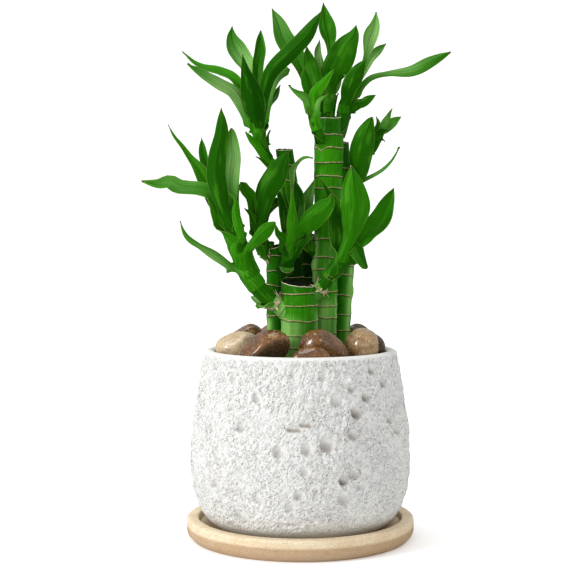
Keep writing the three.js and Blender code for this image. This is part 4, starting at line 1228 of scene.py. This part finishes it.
def add_leaf(bm, stem, thick, leaf, layer, seed):
    """One leaf: a sheath wrapped round the stem that opens into the blade."""
    draw = random.Random(seed)
    shoulder = stem.at(leaf["at"])
    upward = stem.tangent(leaf["at"])
    out = Vector(leaf["via"][0]) - shoulder
    out = (out - upward * out.dot(upward)).normalized()
    girth = along(thick, leaf["at"])
    reach = min(4 + 1.4 * girth, 0.9 * leaf["at"] * stem.length) / stem.length
    lift = min(0.22 + 0.12 * layer, 0.6)

    def outward(share):
        tangent = stem.tangent(share)
        return (out - tangent * out.dot(tangent)).normalized()

    def skin(share, more=0.0):
        return stem.at(share) + outward(share) * (along(thick, share) + lift + more)

    start = leaf["at"] - reach
    lower = [skin(start), skin(start + reach / 2), skin(leaf["at"], 0.12 * girth)]
    path = Path([*lower, *leaf["via"], leaf["tip"]])
    sheath = Path(lower).length / path.length
    look = Vector(leaf["face"]).normalized()
    if look.dot(out) > 0:
        look.negate()
    wave = leaf["wave"]
    flutter = 0.05 * max(leaf["wide"])
    phase = draw.uniform(0, 6)
    tone = clamp(leaf["tone"] + draw.gauss(0, 0.05))
    bright, gloss = leaf["sheen"]
    rows = SHEATH_ROWS + BLADE_ROWS

    def surface(u, v):
        across = 2 * v - 1
        row = u * rows
        if row <= SHEATH_ROWS:
            w = sheath * row / SHEATH_ROWS
        else:
            w = lerp(sheath, 1, (row - SHEATH_ROWS) / BLADE_ROWS)
        tangent = path.tangent(w)
        if w < sheath:
            s = w / sheath
            share = start + reach * s
            bend = along(thick, share) + lift
            curl = lerp(SHEATH_CURL, OPEN_CURL, smooth(s, 0, 1) ** 1.3)
            half = bend * curl
            normal = -outward(share)
        else:
            out_share = (w - sheath) / (1 - sheath)
            turn = smooth(out_share, -0.03, 0.11)
            base = (girth + lift) * OPEN_CURL
            half = lerp(base, half_width(leaf["wide"], out_share), smooth(out_share, 0, 0.15))
            curl = lerp(OPEN_CURL, BLADE_FOLD, smooth(out_share, 0, 0.25))
            normal = (-out).lerp(look, turn)
        normal = (normal - tangent * normal.dot(tangent)).normalized()
        side = tangent.cross(normal)
        angle = across * curl
        ripple = wave * across**2 * math.sin(14 * w + across) * smooth(w, 0.3, 0.6)
        ripple += flutter * abs(across) ** 3 * math.sin(9 * w + phase + 2 * across) * smooth(w, 0.35, 0.6)
        uneven = noise.noise(Vector((5 * w, seed, math.copysign(2, across))))
        half *= 1 + 0.08 * uneven * smooth(w, sheath, 0.5)
        bend = half / curl
        opened = smooth(w, sheath, sheath + 0.3)
        rib = BLADE_CREASE * half * (abs(across) - 0.5) * opened - 0.15 * bell(across, 0.1) * opened
        rise = bend * (1 - math.cos(angle)) + ripple + rib
        point = path.at(w) + side * (bend * math.sin(angle)) + normal * rise
        shine = gloss * bell(w - lerp(sheath, 1, bright), 0.24) * smooth(across, -1.4, 0.2)
        values = {"rim": (1 - abs(across)) * half, "tone": tone, "blade": 1.0, "ring": 9.0, "sheen": shine}
        return point, values

    sheet(bm, BLADE_COLUMNS, rows, surface)
    return start


def make_shoot(index, name, stem_points, thick, *leaves):
    """A shoot's leaves as one piece, and its stem with a ring at the foot of each leaf as another."""
    stem = Path(stem_points)
    leaves = sorted(leaves, key=lambda leaf: leaf["at"])
    bm = new_mesh(LEAF_VALUES)
    rings = []
    for k, leaf in enumerate(leaves):
        near = sum(1 for other in leaves[k + 1 :] if (other["at"] - leaf["at"]) * stem.length < 9)
        rings.append(add_leaf(bm, stem, thick, leaf, near, LEAF_SEED_STEP * index + k))
    bmesh.ops.recalc_face_normals(bm, faces=bm.faces[:])
    bmesh.ops.solidify(bm, geom=bm.faces[:], thickness=BLADE_THICKNESS * MM)
    piece(name + "_leaves", bm, LEAF, ["shoot_" + name], crease=50)

    bm = new_mesh(LEAF_VALUES)
    rows = max(12, round(stem.length / STEM_ROW_GAP))
    tone = random.Random(STEM_SEED + index).uniform(0.1, 0.4)

    def surface(u, v):
        turn = 2 * math.pi * v
        nearest = min(((u - ring) * stem.length for ring in rings), key=abs)
        uneven = noise.noise(Vector((math.sin(turn), math.cos(turn), u * 6 + index)))
        r = along(thick, u) - 0.2 + 0.18 * bell(nearest, 0.8) + 0.1 * uneven
        r *= 1 - 0.75 * smooth(u, 0.97, 1)
        values = {"rim": 9.0, "tone": tone, "blade": 0.0, "ring": abs(nearest), "sheen": 0.0}
        return beside(stem, u, turn, r), values

    made = sheet(bm, STEM_SIDES, rows, surface, closed=True)
    close_ends(bm, made)
    piece(name + "_stem", bm, LEAF, ["shoot_" + name], crease=60)


def make_collar(name, path_points, radius, seed):
    """Torn dry sheath round a shoot's foot: a short ragged ring with strips that stand off the stem."""
    path = Path(path_points)
    draw = random.Random(seed)
    bm = new_mesh()
    tangent = path.tangent(0.5)
    across, near = square_to(tangent)

    def around(turn):
        return across * math.sin(turn) + near * math.cos(turn)

    def ring(u, v):
        out = around(2 * math.pi * v)
        torn = clamp(0.3 + 0.9 * noise.noise(out * 3 + Vector((seed, 0, 0))), 0.08, 0.7)
        uneven = noise.noise(out * 6 + Vector((0, seed, 2 * u)))
        return path.at(u * torn) + out * (radius + 0.3 * uneven), {}

    sheet(bm, COLLAR_SIDES, COLLAR_ROWS, ring, closed=True)
    for k in range(COLLAR_STRIPS):
        out = around(2 * math.pi * (k + draw.uniform(-0.4, 0.4)) / COLLAR_STRIPS)
        side = out.cross(tangent)
        wide = draw.uniform(0.3, 0.8)
        reach = draw.uniform(-0.5, 1.1)
        stand = draw.uniform(0, 2)
        bend = draw.gauss(0, 1)

        def strip(u, v):
            aside = (2 * v - 1) * wide * (1 - u) ** 0.7 + bend * u * u
            along_stem = path.at(0) + tangent * (path.length * reach * u)
            return along_stem + out * (radius + 0.1 + stand * u * u) + side * aside, {}

        sheet(bm, 2, STRIP_ROWS, strip)
    bmesh.ops.recalc_face_normals(bm, faces=bm.faces[:])
    bmesh.ops.solidify(bm, geom=bm.faces[:], thickness=COLLAR_THICKNESS * MM)
    piece(name, bm, DRY, (), crease=60)


def make_flare(name, path_points, radii, rings, tone, pale_streaks):
    """The swollen foot of a shoot where it leaves its cane, with leaf scars across it."""
    path = Path(path_points)
    bm = new_mesh(CANE_VALUES)

    def surface(u, v):
        turn = 2 * math.pi * v
        gap = min(((u - ring) * path.length for ring in rings), key=abs)
        spot = Vector((math.sin(turn), math.cos(turn), u * 3))
        r = along(radii, u) + 0.2 * bell(gap, 0.4) + 0.2 * noise.noise(spot * 2)
        # Painted shade just below each scar
        under = bell(gap + 0.5, 0.3)
        values = {"ring": min(abs(gap), 3), "under": under, "cut": 0.0, "tone": tone, "pale_streaks": pale_streaks}
        return beside(path, u, turn, r), values

    made = sheet(bm, FLARE_SIDES, FLARE_ROWS, surface, closed=True)
    close_ends(bm, made)
    piece(name, bm, CANE, (), crease=60)


# Stage
def make_stage():
    """A wide floor of white paper."""
    bm = bmesh.new()
    bmesh.ops.create_grid(bm, x_segments=1, y_segments=1, size=4)
    mesh = bpy.data.meshes.new("floor")
    bm.to_mesh(mesh)
    bm.free()
    floor = bpy.data.objects.new("floor", mesh)
    bpy.context.scene.collection.objects.link(floor)
    paper, tree, shader, spot = material("Paper", 0.9, Specular_IOR_Level=0.1)
    cloud = grained(tree, spot, 0.6, 2)
    ray = tree.nodes.new("ShaderNodeLightPath")
    white = mixed(tree, cloud, (0.93, 0.93, 0.93, 1), (0.96, 0.96, 0.96, 1))
    grey = (0.12, 0.12, 0.12, 1)
    wire(tree, mixed(tree, ray.outputs["Is Glossy Ray"], white, grey), shader, "Base Color")
    away = add_node(tree, "ShaderNodeVectorMath", operation="LENGTH", i0=spot).outputs["Value"]
    glow = times(tree, ranged(tree, away, 0.06, 0.3, 0.25, 0.6), ray.outputs["Is Camera Ray"])
    shader.inputs["Emission Color"].default_value = (1, 1, 1, 1)
    wire(tree, glow, shader, "Emission Strength")
    mesh.materials.append(paper)


def add_lamp(name, place, aim, size, power):
    data = bpy.data.lights.new(name, "AREA")
    data.shape = "DISK"
    data.size = size
    data.energy = power
    lamp = bpy.data.objects.new(name, data)
    lamp.location = place
    lamp.rotation_euler = (Vector(aim) - Vector(place)).to_track_quat("-Z", "Y").to_euler()
    bpy.context.scene.collection.objects.link(lamp)


def make_light():
    world = bpy.data.worlds.new("Studio")
    bpy.context.scene.world = world
    world.use_nodes = True
    tree = world.node_tree
    background = tree.nodes["Background"]
    ray = tree.nodes.new("ShaderNodeLightPath")
    fill = maths(tree, "MULTIPLY_ADD", ray.outputs["Is Camera Ray"], CAMERA_FILL, FILL)
    fill = maths(tree, "MULTIPLY_ADD", ray.outputs["Is Glossy Ray"], MIRRORED_FILL, fill)
    tree.links.new(fill, background.inputs["Strength"])
    background.inputs["Color"].default_value = (1, 1, 1, 1)
    for name, lamp in LAMPS.items():
        add_lamp(name, *lamp)
    bpy.context.scene.view_settings.view_transform = "Standard"


def make_camera():
    data = bpy.data.cameras.new("camera")
    data.lens = CAMERA_LENS
    data.sensor_width = CAMERA_SENSOR
    camera = bpy.data.objects.new("camera", data)
    camera.location = CAMERA_PLACE
    camera.rotation_euler = (math.radians(CAMERA_TILT), 0, 0)
    bpy.context.scene.collection.objects.link(camera)
    bpy.context.scene.camera = camera


make_camera()
make_light()
make_stage()
make_saucer()
make_pot()
make_soil()
make_pebbles()
for index, (name, cane) in enumerate(CANES.items()):
    make_cane(index, name, cane)
for index, (name, shoot) in enumerate(SHOOTS.items()):
    make_shoot(index, name, *shoot)
for name, flare in FLARES.items():
    make_flare(name, *flare)
for name, collar in COLLARS.items():
    make_collar(name, *collar)
